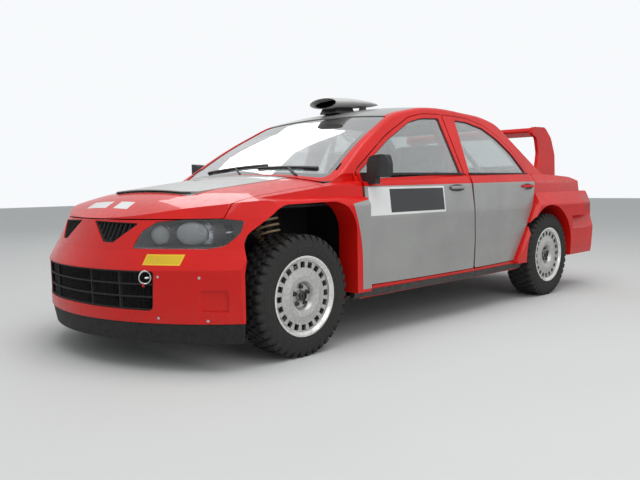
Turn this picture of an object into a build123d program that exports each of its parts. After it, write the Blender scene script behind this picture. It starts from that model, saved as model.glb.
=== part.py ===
"""Four door rally car, built as separate panels, glass, running gear and cabin pieces.

Units are millimetres. The car faces -Y, +X is its left side, +Z is up, and the
origin lies on the ground below the middle of its overall box.
"""

import os
from math import atan2, cos, degrees, hypot, radians, sin, tan

from build123d import *

os.makedirs("parts", exist_ok=True)

# Overall sizes
TAIL_Y = 2150
FRONT_AXLE_Y = -1320
REAR_AXLE_Y = 1280
HUB_Z = 315
FLARE_X = 895

# Curvature of the body: plan sweep of the sides, crown of bonnet, roof and deck
SIDE_X = 868
PLAN_RADIUS = 20000
CROWN_AXIS_Z = -4000
NOSE_CENTRE_Y = -960

# Walls and gaps
SKIN = 18
ROOF_WALL = 30
PILLAR_WALL = 46
SHUT_GAP = 6
SEAT_GAP = 0.3

# Panel lines
BONNET_EDGE_X = 747
BONNET_REAR_Y = -1060
BONNET_LOW_Z = 728
NOSE_SEAM_Z = 585
BUMPER_LOW_Z = 240
BUMPER_SIDE_Y = -1725
COWL_Y = -1022
DOOR_FRONT_Y = -820
FENDER_REAR_Y = -829
PILLAR_Y = 253
DOOR_PAIR_GAP = 10
REAR_DOOR_Y = PILLAR_Y + DOOR_PAIR_GAP
SILL_Z = 300
WAIST_Z = 936
FIREWALL_Y = -925
LID_FRONT_Y = 1480
LID_HALF_WIDTH = 655
LID_REAR_HALF = 555
LID_LOW_Z = 625
REAR_SEAM_Z = 600

# Wheels
TYRE_RADIUS = 315
TYRE_WIDTH = 205
WHEEL_FACE_X = 875
RIM_RADIUS = 207.6
WHEEL_X = WHEEL_FACE_X - TYRE_WIDTH / 2
ARCH_REAR_RADIUS = 352
ARCH_BACK_Y = -945
ARCH_TOP_Z = 795
ARCH_BACK_RADIUS = 170


def outline(rows):
    """Closed line through rows of (across, up, corner radius)"""
    return FilletPolyline(*[row[:2] for row in rows], radius=[row[2] for row in rows], close=True)


def turned(rows, plane, axis):
    """Solid turned about an axis from a closed outline"""
    with BuildPart() as solid:
        with BuildSketch(plane):
            with BuildLine():
                outline(rows)
            make_face()
        revolve(axis=axis)
    return solid.part


def prism(rows, plane, length, taper=0, grow=0):
    """Solid pushed out of a plane from a closed outline, grown all round if asked"""
    with BuildPart() as solid:
        with BuildSketch(plane):
            with BuildLine():
                outline(rows)
            make_face()
            if grow:
                offset(amount=grow, kind=Kind.INTERSECTION)
        extrude(amount=length, taper=taper)
    return solid.part


def brick(x, y, z):
    """Box between the low and high values on each axis"""
    size = [high - low for low, high in (x, y, z)]
    middle = [(low + high) / 2 for low, high in (x, y, z)]
    return Pos(*middle) * Box(*size)


def side_solid(rows, inset=0):
    """Left half of a body slice with sides swept in plan, rows of (x, z, radius)"""
    axis_x = SIDE_X - PLAN_RADIUS
    low, high = rows[0][1], rows[-1][1]
    ring = [(axis_x, low, 0)] + [(x - inset, z, r) for x, z, r in rows] + [(axis_x, high, 0)]
    return turned(ring, Plane.XZ, Axis((axis_x, 0, 0), (0, 0, 1)))


def top_solid(rows, drop=0):
    """Solid under a crowned top whose centre line is rows of (y, z, radius)"""
    first, last = rows[0][0], rows[-1][0]
    ring = [(first, CROWN_AXIS_Z, 0)] + [(y, z - drop, r) for y, z, r in rows]
    ring += [(last, CROWN_AXIS_Z, 0)]
    return turned(ring, Plane.YZ, Axis((0, 0, CROWN_AXIS_Z), (0, 1, 0)))


def nose_solid(rows, inset=0):
    """Round front of the car, rows of (radius from the nose centre, z, corner radius)"""
    axis = Axis((0, NOSE_CENTRE_Y, 0), (0, 0, 1))
    low, high = rows[0][1], rows[-1][1]
    ring = [(0, low, 0)] + [(x - inset, z, r) for x, z, r in rows] + [(0, high, 0)]
    return turned(ring, Plane.XZ.offset(-NOSE_CENTRE_Y), axis)


# Section of the door side at the middle of the car: x, z, corner radius
SIDE_ROWS = [
    (820, 100, 0),
    (858, SILL_Z, 60),
    (868, 500, 0),
    (866, 700, 300),
    (845, 875, 60),
    (735, 1060, 0),
]
INNER_ROWS = [
    (776, 230, 0),
    (800, SILL_Z, 0),
    (812, 500, 0),
    (808, 700, 0),
    (787, 872, 0),
    (742, 930, 0),
    (710, 1001, 0),
]

# Centre line of bonnet, waist and boot: y, z, corner radius
TOP_ROWS = [
    (-2230, 640, 0),
    (-2035, 728, 250),
    (-1840, 812, 900),
    (-1600, 879, 1500),
    (-1040, 947, 300),
    (-860, 957, 300),
    (200, 990, 3000),
    (1300, 996, 900),
    (1900, 968, 700),
    (2075, 932, 60),
    (2270, 792, 0),
]

# Round front from the splitter to the bonnet edge: radius, z, corner radius
NOSE_ROWS = [
    (1160, 100, 0),
    (1186, 235, 0),
    (1190, 492, 14),
    (1140, NOSE_SEAM_Z, 0),
    (1075, 730, 90),
    (985, 900, 0),
    (900, 1100, 0),
]

# Centre line of windscreen, roof and rear window: y, z, corner radius
ROOF_ROWS = [
    (-1130, 868, 0),
    (-640, 1178, 2500),
    (-270, 1358, 800),
    (60, 1416, 1400),
    (300, 1424, 2400),
    (800, 1394, 1100),
    (990, 1350, 240),
    (1450, 988, 0),
    (1560, 900, 0),
]

# Lean of the side glass
GLASS_X = 795
GLASS_Z = 900
GLASS_LEAN = 0.4535
LEAN_ANGLE = degrees(atan2(GLASS_LEAN, 1))


def glass_x(z):
    """Half width of the upper body at a height"""
    return GLASS_X - GLASS_LEAN * (z - GLASS_Z)


UPPER_ROWS = [(glass_x(880), 880, 0), (glass_x(1450), 1450, 0)]
GLASS_PLANE = Plane(
    origin=(GLASS_X, 0, GLASS_Z),
    x_dir=(0, 1, 0),
    z_dir=(cos(radians(LEAN_ANGLE)), 0, sin(radians(LEAN_ANGLE))),
)

# Wide arches: x, z, corner radius
FRONT_FLARE_ROWS = [
    (880, 100, 0),
    (FLARE_X, 250, 0),
    (FLARE_X, 770, 26),
    (872, 806, 14),
    (780, 822, 0),
]
REAR_FLARE_ROWS = [
    (868, 100, 0),
    (FLARE_X, 500, 0),
    (FLARE_X, 700, 22),
    (820, 796, 0),
]
FLARE_PLAN_RADIUS = 40000


def flare_solid(rows, middle_y, inset=0):
    """Left half of a slice that is widest at one place along the car"""
    axis_x = FLARE_X - FLARE_PLAN_RADIUS
    low, high = rows[0][1], rows[-1][1]
    ring = [(axis_x, low, 0)] + [(x - inset, z - inset, r) for x, z, r in rows]
    ring += [(axis_x, high - inset, 0)]
    plane = Plane.XZ.offset(-middle_y)
    return turned(ring, plane, Axis((axis_x, middle_y, 0), (0, 0, 1)))


def flat(rows, low, high):
    """Upright solid over a plan outline of rows (x, y, radius)"""
    return prism(rows, Plane.XY.offset(low), high - low)


def across(rows, low, high, grow=0):
    """Solid over a side outline of rows (y, z, radius), between two widths"""
    return prism(rows, Plane.YZ.offset(low), high - low, grow=grow)


def facing(rows, front, back, grow=0):
    """Solid over a front outline of rows (x, z, radius), between two places along the car"""
    return prism(rows, Plane.XZ.offset(-back), back - front, grow=grow)


def on_glass(rows, outer, depth, taper=0, grow=0):
    """Solid over an outline of rows (y, z, radius) laid on the leaning side glass"""
    lean = cos(radians(LEAN_ANGLE))
    local = [(y, (z - GLASS_Z) / lean, r) for y, z, r in rows]
    return prism(local, GLASS_PLANE.offset(outer), -depth, taper, grow)


def piece(*adds, keep=(), cut=()):
    """Part made from solids added, then kept within others, then cut by others"""
    with BuildPart() as made:
        for solid in adds:
            add(solid)
        for solid in keep:
            add(solid, mode=Mode.INTERSECT)
        for solid in cut:
            add(solid, mode=Mode.SUBTRACT)
    return made.part


def both_sides(solid):
    """Left half and its mirror image as one part"""
    with BuildPart() as made:
        add(solid)
        mirror(about=Plane.YZ)
    return made.part


def save(made, label):
    made.label = label
    export_step(made, f"parts/{label}.step")


def post(place, radius, low, high):
    """Upright round pin or hole"""
    with BuildPart() as made:
        with BuildSketch(Plane.XY.offset(low)):
            with Locations(place):
                Circle(radius)
        extrude(amount=high - low)
    return made.part


def bar(start, end, radius):
    """Round bar between two points"""
    with BuildPart() as made:
        with BuildLine():
            path = Line(start, end)
        with BuildSketch(Plane(origin=path @ 0, z_dir=path % 0)):
            Circle(radius)
        sweep()
    return made.part


# Hinge pin at the foot of each door, on the axis that the record names: x, y
PIN_RADIUS = 4.5
PIN_TOP_Z = 318
FRONT_HINGE = (834, -795)
REAR_HINGE = (848, 297)
RELIEF_GAP = 5.5


def side_x(y):
    """Half width of the door skin at its crease, at a place along the car"""
    return SIDE_X - y * y / (2 * PLAN_RADIUS)


def door_relief(hinge, edge_y):
    """Room about a hinge in which the door's leading edge turns"""
    reach = hypot(side_x(edge_y) - hinge[0], hinge[1] - edge_y)
    return post(hinge, reach + RELIEF_GAP, SILL_Z + 0.5, 945)


def hinge_hole(hinge):
    return post(hinge, PIN_RADIUS + SEAT_GAP, SILL_Z, PIN_TOP_Z + 4)


# Forms of the front
half_front = brick((0, 1000), (-2300, FENDER_REAR_Y), (100, 1100))


def front_form(inset):
    return piece(
        side_solid(SIDE_ROWS, inset) & half_front,
        flare_solid(FRONT_FLARE_ROWS, FRONT_AXLE_Y, inset) & half_front,
        keep=(top_solid(TOP_ROWS, inset), nose_solid(NOSE_ROWS, inset)),
    )


front_outer = front_form(0)
front_inner = front_form(SKIN)
front_shell = piece(front_outer, cut=(front_inner,))

# Outline of the bumper seam and of the lamp and grille openings, seen from the front: x, z, radius
BUMPER_ROWS = [
    (-10, BUMPER_LOW_Z, 0),
    (1000, BUMPER_LOW_Z, 0),
    (1000, 495, 0),
    (862, 515, 60),
    (780, NOSE_SEAM_Z, 60),
    (-10, NOSE_SEAM_Z, 0),
]
LAMP_ROWS = [
    (402, 588, 10),
    (420, 668, 40),
    (480, 714, 40),
    (600, 724, 90),
    (760, 725, 60),
    (822, 716, 12),
    (830, 656, 50),
    (800, 600, 40),
    (742, 588, 60),
]
GRILLE_ROWS = [(66, 716, 4), (392, 707, 6), (272, 612, 10), (196, 614, 6)]
MOUTH_ROWS = [(-10, 304, 0), (552, 298, 26), (562, 488, 14), (-10, 488, 0)]

lamp_hole = facing(LAMP_ROWS, -2300, -1600)
grille_hole = facing(GRILLE_ROWS, -2300, -1800)
mouth_hole = facing(MOUTH_ROWS, -2300, -1800)

# Bonnet, hung on a lug and pin at each rear corner
BONNET_PIVOT = (BONNET_REAR_Y, 905)
LUG_RADIUS = 9
LUG_PIN_RADIUS = 4
LUG_X = 312
bonnet_zone = brick((0, BONNET_EDGE_X), (-2300, BONNET_REAR_Y), (BONNET_LOW_Z, 1100))
LUG_ROWS = [
    (BONNET_REAR_Y - LUG_RADIUS, BONNET_PIVOT[1] - LUG_RADIUS, 6),
    (BONNET_REAR_Y + LUG_RADIUS, BONNET_PIVOT[1] - LUG_RADIUS, 6),
    (BONNET_REAR_Y + LUG_RADIUS, BONNET_PIVOT[1] + LUG_RADIUS, 6),
    (BONNET_REAR_Y - 2, 930, 0),
    (BONNET_REAR_Y - 22, 930, 0),
]
bonnet_lug = across(LUG_ROWS, LUG_X, LUG_X + 6)
bonnet_pin = bar((LUG_X - 16, *BONNET_PIVOT), (LUG_X + 6, *BONNET_PIVOT), LUG_PIN_RADIUS)

# Raised vent panel, rooted in the bonnet and open along its front edge: plan x, y, radius, top y, z, radius
VENT_PLAN = [(0, -1694, 0), (330, -1690, 40), (424, -1650, 30), (470, -1066, 20), (0, -1066, 0)]
VENT_TOP_ROWS = [(-1700, 868, 0), (-1060, 947.5, 0)]
VENT_LIP = 5
VENT_ROOT = 4
VENT_OPEN_X = 388
below_lip = top_solid(VENT_TOP_ROWS, VENT_LIP)
vent_slot = piece(
    brick((-10, VENT_OPEN_X), (-1700, -1640), (700, 1000)), keep=(below_lip,), cut=(top_solid(TOP_ROWS),))
vent_throat = piece(brick((-10, VENT_OPEN_X), (-1664, -1636), (700, 1000)), keep=(below_lip,))
vent_panel = piece(
    flat(VENT_PLAN, 700, 1100),
    keep=(top_solid(VENT_TOP_ROWS),),
    cut=(top_solid(TOP_ROWS, VENT_ROOT), vent_slot, vent_throat),
)
bonnet_skin = piece(front_shell & bonnet_zone, bonnet_lug, bonnet_pin, cut=(vent_throat,))
save(both_sides(piece(bonnet_skin, vent_panel)), "bonnet")

# Nose panel between bonnet and bumper
nose_zone = brick((0, BONNET_EDGE_X + 3), (-2300, -1640), (NOSE_SEAM_Z + SEAT_GAP, BONNET_LOW_Z - SHUT_GAP))
nose_half = piece(front_shell, keep=(nose_zone,), cut=(lamp_hole, grille_hole))
save(both_sides(nose_half), "nose_panel")

# Front bumper cover, with a shallow inlet near each corner: x, z, radius
INLET_ROWS = [(745, 300, 10), (850, 296, 10), (850, 398, 10), (752, 398, 10)]
INLET_DEPTH = 12
bumper_zone = facing(BUMPER_ROWS, -2300, BUMPER_SIDE_Y)
bumper_inlet = piece(facing(INLET_ROWS, -2300, BUMPER_SIDE_Y), cut=(front_form(INLET_DEPTH),))
bumper_half = piece(front_shell, keep=(bumper_zone,), cut=(mouth_hole, bumper_inlet))
save(both_sides(bumper_half), "front_bumper")

# Splitter below the bumper: a thin wall and a flat undertray
splitter_zone = brick((0, 1000), (-2300, BUMPER_SIDE_Y), (142, BUMPER_LOW_Z - SEAT_GAP))
splitter_block = piece(front_form(5), keep=(splitter_zone,))
splitter_hollow = piece(front_form(SKIN), keep=(brick((-1, 1000), (-2300, -1600), (156, 400)),))
splitter_half = piece(splitter_block, cut=(splitter_hollow,))
save(both_sides(splitter_half), "front_splitter")

# Front fenders: skin, arch and the return wall behind the wheel
ARCH_TOP_ROWS = [
    (BUMPER_SIDE_Y, 90, 0),
    (BUMPER_SIDE_Y, 470, 0),
    (BUMPER_SIDE_Y + 35, 640, 120),
    (BUMPER_SIDE_Y + 240, ARCH_TOP_Z - 9, 190),
    (ARCH_BACK_Y, ARCH_TOP_Z, ARCH_BACK_RADIUS),
    (ARCH_BACK_Y, 90, 0),
]
fender_zone = brick((BONNET_EDGE_X + SHUT_GAP, 1000), (-2300, FENDER_REAR_Y), (SILL_Z - 14, 960))
arch_hole = across(ARCH_TOP_ROWS, 500, 1000)
seam_rows = [(x, 90 if z == BUMPER_LOW_Z else z + SEAT_GAP, r) for x, z, r in BUMPER_ROWS]
below_bumper_seam = facing(seam_rows, -2300, BUMPER_SIDE_Y + SEAT_GAP)
RETURN_ROWS = [
    (-1180, SILL_Z - 14, 0),
    (-1180, ARCH_TOP_Z + SKIN, 0),
    (ARCH_BACK_Y + SKIN, ARCH_TOP_Z + SKIN, ARCH_BACK_RADIUS + SKIN),
    (ARCH_BACK_Y + SKIN, SILL_Z - 14, 0),
]
return_block = piece(across(RETURN_ROWS, 756, 1000), keep=(front_outer,))
fender_half = piece(
    piece(front_shell, keep=(fender_zone,), cut=(below_bumper_seam, lamp_hole)),
    return_block,
    cut=(arch_hole, door_relief(FRONT_HINGE, DOOR_FRONT_Y)),
)
save(both_sides(fender_half), "front_fenders")

# Forms of the cabin and tail
half_rear = brick((0, 1000), (COWL_Y, 2300), (100, 1100))
half_cabin = brick((0, 1000), (-1140, 1600), (860, 1500))


def tail_plan(end_y):
    """Upright solid with the bowed rear end and round corners"""
    rows = [(-10, -2000, 0), (1100, -2000, 0), (960, end_y - 190, 60), (812, end_y - 38, 120),
            (420, end_y, 900), (-10, end_y, 0)]
    return flat(rows, 90, 1500)


def upper_form(inset, drop):
    return piece(
        side_solid(UPPER_ROWS, inset) & half_cabin,
        keep=(top_solid(ROOF_ROWS, drop),),
    )


FLARE_LINE_ROWS = [
    (804, 90, 0), (804, SILL_Z, 0), (1120, 720, 0), (1192, 880, 0), (2300, 880, 0), (2300, 90, 0)]
upper_outer = upper_form(0, 0)
with BuildPart() as upper_round:
    add(upper_outer)
    edges = upper_round.edges().filter_by(lambda e: e.center().X > 500 and e.center().Z > 1000)
    fillet(edges.filter_by(lambda e: e.center().Y < 1440), 36)

rear_flare = flare_solid(REAR_FLARE_ROWS, REAR_AXLE_Y) & across(FLARE_LINE_ROWS, 0, 1000)
lower_outer = piece(
    side_solid(SIDE_ROWS) & half_rear,
    rear_flare,
    keep=(top_solid(TOP_ROWS), tail_plan(TAIL_Y - 62)),
)
body_outer = piece(lower_outer, upper_round.part)

# Hollows: cabin below and above the waist, under the floor, and boot
cabin_low = side_solid(INNER_ROWS) & (
    brick((0, 1000), (FIREWALL_Y + 20, 880), (220, 1000)) + brick((0, 575), (800, 1110), (220, 1000))
)
cabin_high = upper_form(PILLAR_WALL, ROOF_WALL) & brick((0, 1000), (FIREWALL_Y + 20, 1430), (930, 1500))
cabin_void = piece(cabin_low, cabin_high)
boot_void = piece(
    brick((0, 575), (1130, 2090), (430, 1000)),
    brick((0, 720), (1690, 2000), (430, 1000)),
    keep=(top_solid(TOP_ROWS, SKIN + 4), tail_plan(TAIL_Y - 90)),
)
under_void = brick((-1, 760), (FIREWALL_Y - 200, 2300), (90, 232))
cowl_void = brick((-10, BONNET_EDGE_X + SHUT_GAP), (-1200, FIREWALL_Y - 2), (0, 880))
boot_under = brick((-10, 575), (1110, 2300), (0, 430))
axle_slot = brick((560, 610), (1190, 1370), (0, 425))
body_wall = piece(body_outer, cut=(cabin_void, boot_void, under_void, cowl_void, boot_under, axle_slot))

# Door outlines in side view: y, z, corner radius
DOOR_LOW_Z = SILL_Z + SHUT_GAP
FRONT_DOOR_LOW = [
    (DOOR_FRONT_Y, DOOR_LOW_Z, 6), (PILLAR_Y, DOOR_LOW_Z, 6), (PILLAR_Y, 975, 0), (DOOR_FRONT_Y, 975, 0)]
FRONT_DOOR_HIGH = [
    (DOOR_FRONT_Y, 870, 0), (DOOR_FRONT_Y, 958, 16), (-430, 1176, 900), (-130, 1306, 240),
    (40, 1338, 300), (PILLAR_Y, 1345, 4), (PILLAR_Y, 870, 0)]
FRONT_GLASS_ROWS = [
    (-772, 912, 10), (-772, 958, 16), (-420, 1153, 700), (-140, 1277, 200), (10, 1309, 260),
    (204, 1318, 14), (222, 938, 12)]
REAR_DOOR_LOW = [
    (REAR_DOOR_Y, DOOR_LOW_Z, 6), (800, DOOR_LOW_Z, 10), (1116, 720, 400), (1186, 880, 30), (1186, 975, 0),
    (REAR_DOOR_Y, 975, 0)]
REAR_DOOR_HIGH = [
    (REAR_DOOR_Y, 870, 0), (REAR_DOOR_Y, 1346, 4), (560, 1341, 500), (775, 1304, 260),
    (930, 1234, 260), (1080, 1122, 260), (1186, 962, 60), (1186, 870, 0)]
REAR_GLASS_ROWS = [
    (330, 941, 10), (400, 1317, 14), (560, 1312, 500), (750, 1279, 240), (900, 1210, 240),
    (1040, 1106, 260), (1132, 985, 60), (1148, 941, 12)]
ZONE_OUTER = 30
DOOR_TAPER = 14
WINDOW_TAPER = 20


def door_zone(low_rows, high_rows, grow=0):
    """Space of a door: its edges slant inwards so that it swings clear of the frame"""
    low_grow = grow + ZONE_OUTER * tan(radians(DOOR_TAPER))
    high_grow = grow + ZONE_OUTER * tan(radians(WINDOW_TAPER))
    low = prism(low_rows, Plane.YZ.offset(SIDE_X + ZONE_OUTER), -230, DOOR_TAPER, low_grow)
    high = on_glass(high_rows, ZONE_OUTER, 130, WINDOW_TAPER, high_grow)
    split = WAIST_Z - grow
    return piece(
        low & brick((500, 1100), (-1100, 1500), (200, split)),
        high & brick((500, 1100), (-1100, 1500), (split, 1500)),
    )


front_zone = door_zone(FRONT_DOOR_LOW, FRONT_DOOR_HIGH)
rear_zone = door_zone(REAR_DOOR_LOW, REAR_DOOR_HIGH)
front_opening = door_zone(FRONT_DOOR_LOW, FRONT_DOOR_HIGH, SHUT_GAP)
rear_opening = door_zone(REAR_DOOR_LOW, REAR_DOOR_HIGH, SHUT_GAP)
front_window = on_glass(FRONT_GLASS_ROWS, 40, 140)
back_window = on_glass(REAR_GLASS_ROWS, 40, 140)
plain_side = piece(side_solid(SIDE_ROWS) & half_rear, keep=(top_solid(TOP_ROWS),))
door_wall = piece(plain_side, upper_round.part, cut=(cabin_void,))

front_door = piece(door_wall, keep=(front_zone,), cut=(front_window, hinge_hole(FRONT_HINGE)))
rear_door = piece(door_wall, keep=(rear_zone,), cut=(back_window, hinge_hole(REAR_HINGE)))
for door, place in ((front_door, "front"), (rear_door, "rear")):
    save(door, f"door_{place}_left")
    save(mirror(door, about=Plane.YZ), f"door_{place}_right")

# Door glass, a thin pane seated in each window opening
pane_sheet = piece(
    side_solid(UPPER_ROWS, 10) & half_cabin,
    cut=(side_solid(UPPER_ROWS, 15) & brick((-10, 1100), (-1200, 1700), (800, 1500)),),
)
GLASS_SHRINK = -SEAT_GAP
for rows, place in ((FRONT_GLASS_ROWS, "front"), (REAR_GLASS_ROWS, "rear")):
    zone = front_zone if place == "front" else rear_zone
    pane = piece(pane_sheet, keep=(on_glass(rows, 40, 140, 0, GLASS_SHRINK), zone), cut=(lower_outer,))
    save(pane, f"glass_{place}_left")
    save(mirror(pane, about=Plane.YZ), f"glass_{place}_right")

# Windscreen and rear window openings, laid on the slope of each screen: across, along slope, radius
SCREEN_BASE = (-1000, 952)
SCREEN_TOP = (-318, 1340)
REAR_BASE = (1432, 1002)
REAR_TOP = (1010, 1334)


def on_screen(base, top, rows, outer, depth, grow=0):
    """Solid over an outline laid on a sloping screen, square to it"""
    run, rise = top[0] - base[0], top[1] - base[1]
    length = hypot(run, rise)
    normal = (0, -rise / length, run / length) if run > 0 else (0, rise / length, -run / length)
    plane = Plane(origin=(0, base[0], base[1]), x_dir=(1, 0, 0), z_dir=normal)
    sign = 1 if run > 0 else -1
    local = [(x, sign * along, r) for x, along, r in rows]
    return prism(local, plane.offset(outer), -depth, grow=grow)


SCREEN_ROWS = [(-30, 0, 0), (700, 0, 50), (572, 785, 40), (-30, 785, 0)]
REAR_SCREEN_ROWS = [(-30, 0, 0), (600, 0, 50), (530, 505, 40), (-30, 505, 0)]
screen_hole = on_screen(SCREEN_BASE, SCREEN_TOP, SCREEN_ROWS, 60, 200)
rear_hole = on_screen(REAR_BASE, REAR_TOP, REAR_SCREEN_ROWS, 60, 160)
screen_sheet = piece(upper_form(0, 6), cut=(upper_form(-5, 13),))
screen_pane = piece(
    screen_sheet,
    keep=(
        on_screen(SCREEN_BASE, SCREEN_TOP, SCREEN_ROWS, 60, 200, -SEAT_GAP),
        brick((0, 1000), (-1100, 0), (0, 1500)),
    ),
)
rear_pane = piece(
    screen_sheet,
    keep=(
        on_screen(REAR_BASE, REAR_TOP, REAR_SCREEN_ROWS, 60, 160, -SEAT_GAP),
        brick((0, 1000), (800, 1600), (0, 1500)),
    ),
)
save(both_sides(screen_pane), "windscreen")
save(both_sides(rear_pane), "rear_window")

# Shell: roof, pillars, sills, firewall, inner wings, wheel houses, tail
ARCH_REAR_CENTRE_Z = 348
with BuildPart() as rear_arch:
    with BuildSketch(Plane.YZ.offset(600)):
        with Locations((REAR_AXLE_Y, ARCH_REAR_CENTRE_Z)):
            Circle(ARCH_REAR_RADIUS)
        with Locations((REAR_AXLE_Y, ARCH_REAR_CENTRE_Z - 150)):
            Rectangle(2 * ARCH_REAR_RADIUS, 300)
    extrude(amount=400)

WING_WALL_X = 470
inner_front = piece(
    brick((WING_WALL_X, WING_WALL_X + 14), (-1760, FIREWALL_Y + 5), (300, 570)),
    brick((WING_WALL_X, WING_WALL_X + 14), (-1640, FIREWALL_Y + 5), (300, 790)),
    brick((WING_WALL_X, 745), (-1620, FIREWALL_Y + 5), (764, 778)),
    brick((0, WING_WALL_X + 14), (-1760, -1720), (300, 420)),
    brick((0, BONNET_EDGE_X), (FIREWALL_Y - 2, FIREWALL_Y + 24), (232, 900)),
    keep=(front_form(SKIN + 2) + brick((0, 760), (-1000, -880), (100, 935)),),
)
POST_GAP = 7
POST_DEPTH = 35
POST_Y = (205, 305)
centre_post = piece(
    side_solid(INNER_ROWS, POST_GAP) & brick((500, 1000), POST_Y, (SILL_Z - 49.7, 1000)),
    side_solid(INNER_ROWS, -3) & brick((500, 1000), (251, 265), (SILL_Z - 10, 1000)),
    cut=(side_solid(INNER_ROWS, POST_GAP + POST_DEPTH) & brick((0, 1000), (100, 400), (200, 1001)),),
)
upper_post = piece(
    side_solid(UPPER_ROWS, PILLAR_WALL + POST_GAP) & brick((450, 1000), POST_Y, (925, 1450)),
    keep=(top_solid(ROOF_ROWS, 10),),
    cut=(side_solid(UPPER_ROWS, PILLAR_WALL + POST_GAP + POST_DEPTH - 2),),
)
tail_zone_cut = piece(
    brick((-10, LID_HALF_WIDTH), (LID_FRONT_Y, 2300), (810, 1100)),
    brick((-10, LID_REAR_HALF), (2020, 2300), (LID_LOW_Z, 811)),
)
LAMP_THICK = 30
PANEL_Y = TAIL_Y - 62


def tail_lamp_zone(gap):
    """Corner block of a tail lamp, hollow behind"""
    core = piece(brick((0, 900), (1500, 2200), (600, 800)),
                 keep=(tail_plan(PANEL_Y - LAMP_THICK + gap), side_solid(SIDE_ROWS, LAMP_THICK - gap)))
    return piece(brick((568 + gap, 1000), (1870 + gap, 2300), (634 + gap, 764 - gap)), cut=(core,))


tail_pocket = tail_lamp_zone(0)
lid_zone = piece(
    brick((0, LID_HALF_WIDTH - SHUT_GAP), (LID_FRONT_Y + SHUT_GAP, 2300), (810 + SHUT_GAP, 1100)),
    brick((0, LID_REAR_HALF - SHUT_GAP), (2020, 2300), (LID_LOW_Z + SHUT_GAP, 817)),
)
shell_half = piece(
    body_wall,
    inner_front,
    cut=(
        front_opening,
        rear_opening,
        screen_hole,
        rear_hole,
        rear_arch.part,
        tail_zone_cut,
        brick((BONNET_EDGE_X + SHUT_GAP, 1000), (-1200, FENDER_REAR_Y), (0, 940)),
        brick((-10, BONNET_EDGE_X + SHUT_GAP), (-1200, COWL_Y), (780, 1100)),
        brick((-10, 1000), (1640, 2300), (0, REAR_SEAM_Z)),
        brick((800, 1000), (-2300, 2300), (0, SILL_Z - 14)),
        brick((-10, 1000), (-2300, 2300), (0, 232)),
        tail_pocket,
    ),
)
bonnet_bracket = piece(
    bar((LUG_X - 12, *BONNET_PIVOT), (LUG_X - 6, *BONNET_PIVOT), LUG_RADIUS),
    brick((LUG_X - 12, LUG_X - 6), (BONNET_REAR_Y, COWL_Y + 10), (886, 902)),
    cut=(bar((LUG_X - 13, *BONNET_PIVOT), (LUG_X - 5, *BONNET_PIVOT), LUG_PIN_RADIUS + SEAT_GAP),),
)
LID_PIVOT = (1474, 999)
LID_HINGE_X = 330
HINGE_LEAF = 4
lid_bracket = piece(
    bar((LID_HINGE_X - HINGE_LEAF, *LID_PIVOT), (LID_HINGE_X + HINGE_LEAF, *LID_PIVOT), LUG_RADIUS - 1),
    brick((LID_HINGE_X - HINGE_LEAF, LID_HINGE_X + HINGE_LEAF), (1467, 1477), (960, 997)),
    cut=(bar((LID_HINGE_X - 9, *LID_PIVOT), (LID_HINGE_X + 9, *LID_PIVOT), LUG_PIN_RADIUS + SEAT_GAP),),
)
TUB_REAR_Y = TAIL_Y - 90
TUB_WALL = 14
boot_tub = piece(
    brick((575, 575 + TUB_WALL), (1630, TUB_REAR_Y + TUB_WALL), (418, REAR_SEAM_Z + 1)),
    brick((-1, 575 + TUB_WALL), (TUB_REAR_Y, TUB_REAR_Y + TUB_WALL), (418, REAR_SEAM_Z + 1)),
)
lid_buffer = post((300, TAIL_Y - 84), 8, LID_LOW_Z - 20, LID_LOW_Z + SHUT_GAP - SEAT_GAP)
hinge_pins = [post(place, PIN_RADIUS, SILL_Z - 10, PIN_TOP_Z) for place in (FRONT_HINGE, REAR_HINGE)]
front_relief = door_relief(FRONT_HINGE, DOOR_FRONT_Y)
rib_relief = brick((FRONT_HINGE[0], 900), (FENDER_REAR_Y - 1, DOOR_FRONT_Y), (SILL_Z + 0.5, 945))
shell_half = piece(shell_half, cut=(front_relief, rib_relief, door_relief(REAR_HINGE, REAR_DOOR_Y)))
shell_half = piece(
    shell_half, centre_post, upper_post, bonnet_bracket, lid_bracket, boot_tub, lid_buffer, *hinge_pins)

# The shell is saved as simple panels, SEAT_GAP apart, split at these places
COWL_SPLIT_Y = -835
SCREEN_SPLIT_Z = 1000
PILLAR_SPLIT_Z = 950
RAIL_SPLIT_Z = 1300
SILL_SPLIT_Y = 870
DECK_SPLIT_Y = 1425
SIDE_SPLIT_X = 570


def roof_zone(gap):
    """Space above the cowl, the waist and the rear deck, for the roof and its pillars"""
    rows = [
        (-1100, SCREEN_SPLIT_Z + gap, 0),
        (-700, SCREEN_SPLIT_Z + gap, 0),
        (-700, PILLAR_SPLIT_Z + gap, 0),
        (DECK_SPLIT_Y - gap, PILLAR_SPLIT_Z + gap, 0),
        (DECK_SPLIT_Y - gap, 1500, 0),
        (-1100, 1500, 0),
    ]
    return across(rows, -10, 1000)


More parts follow.
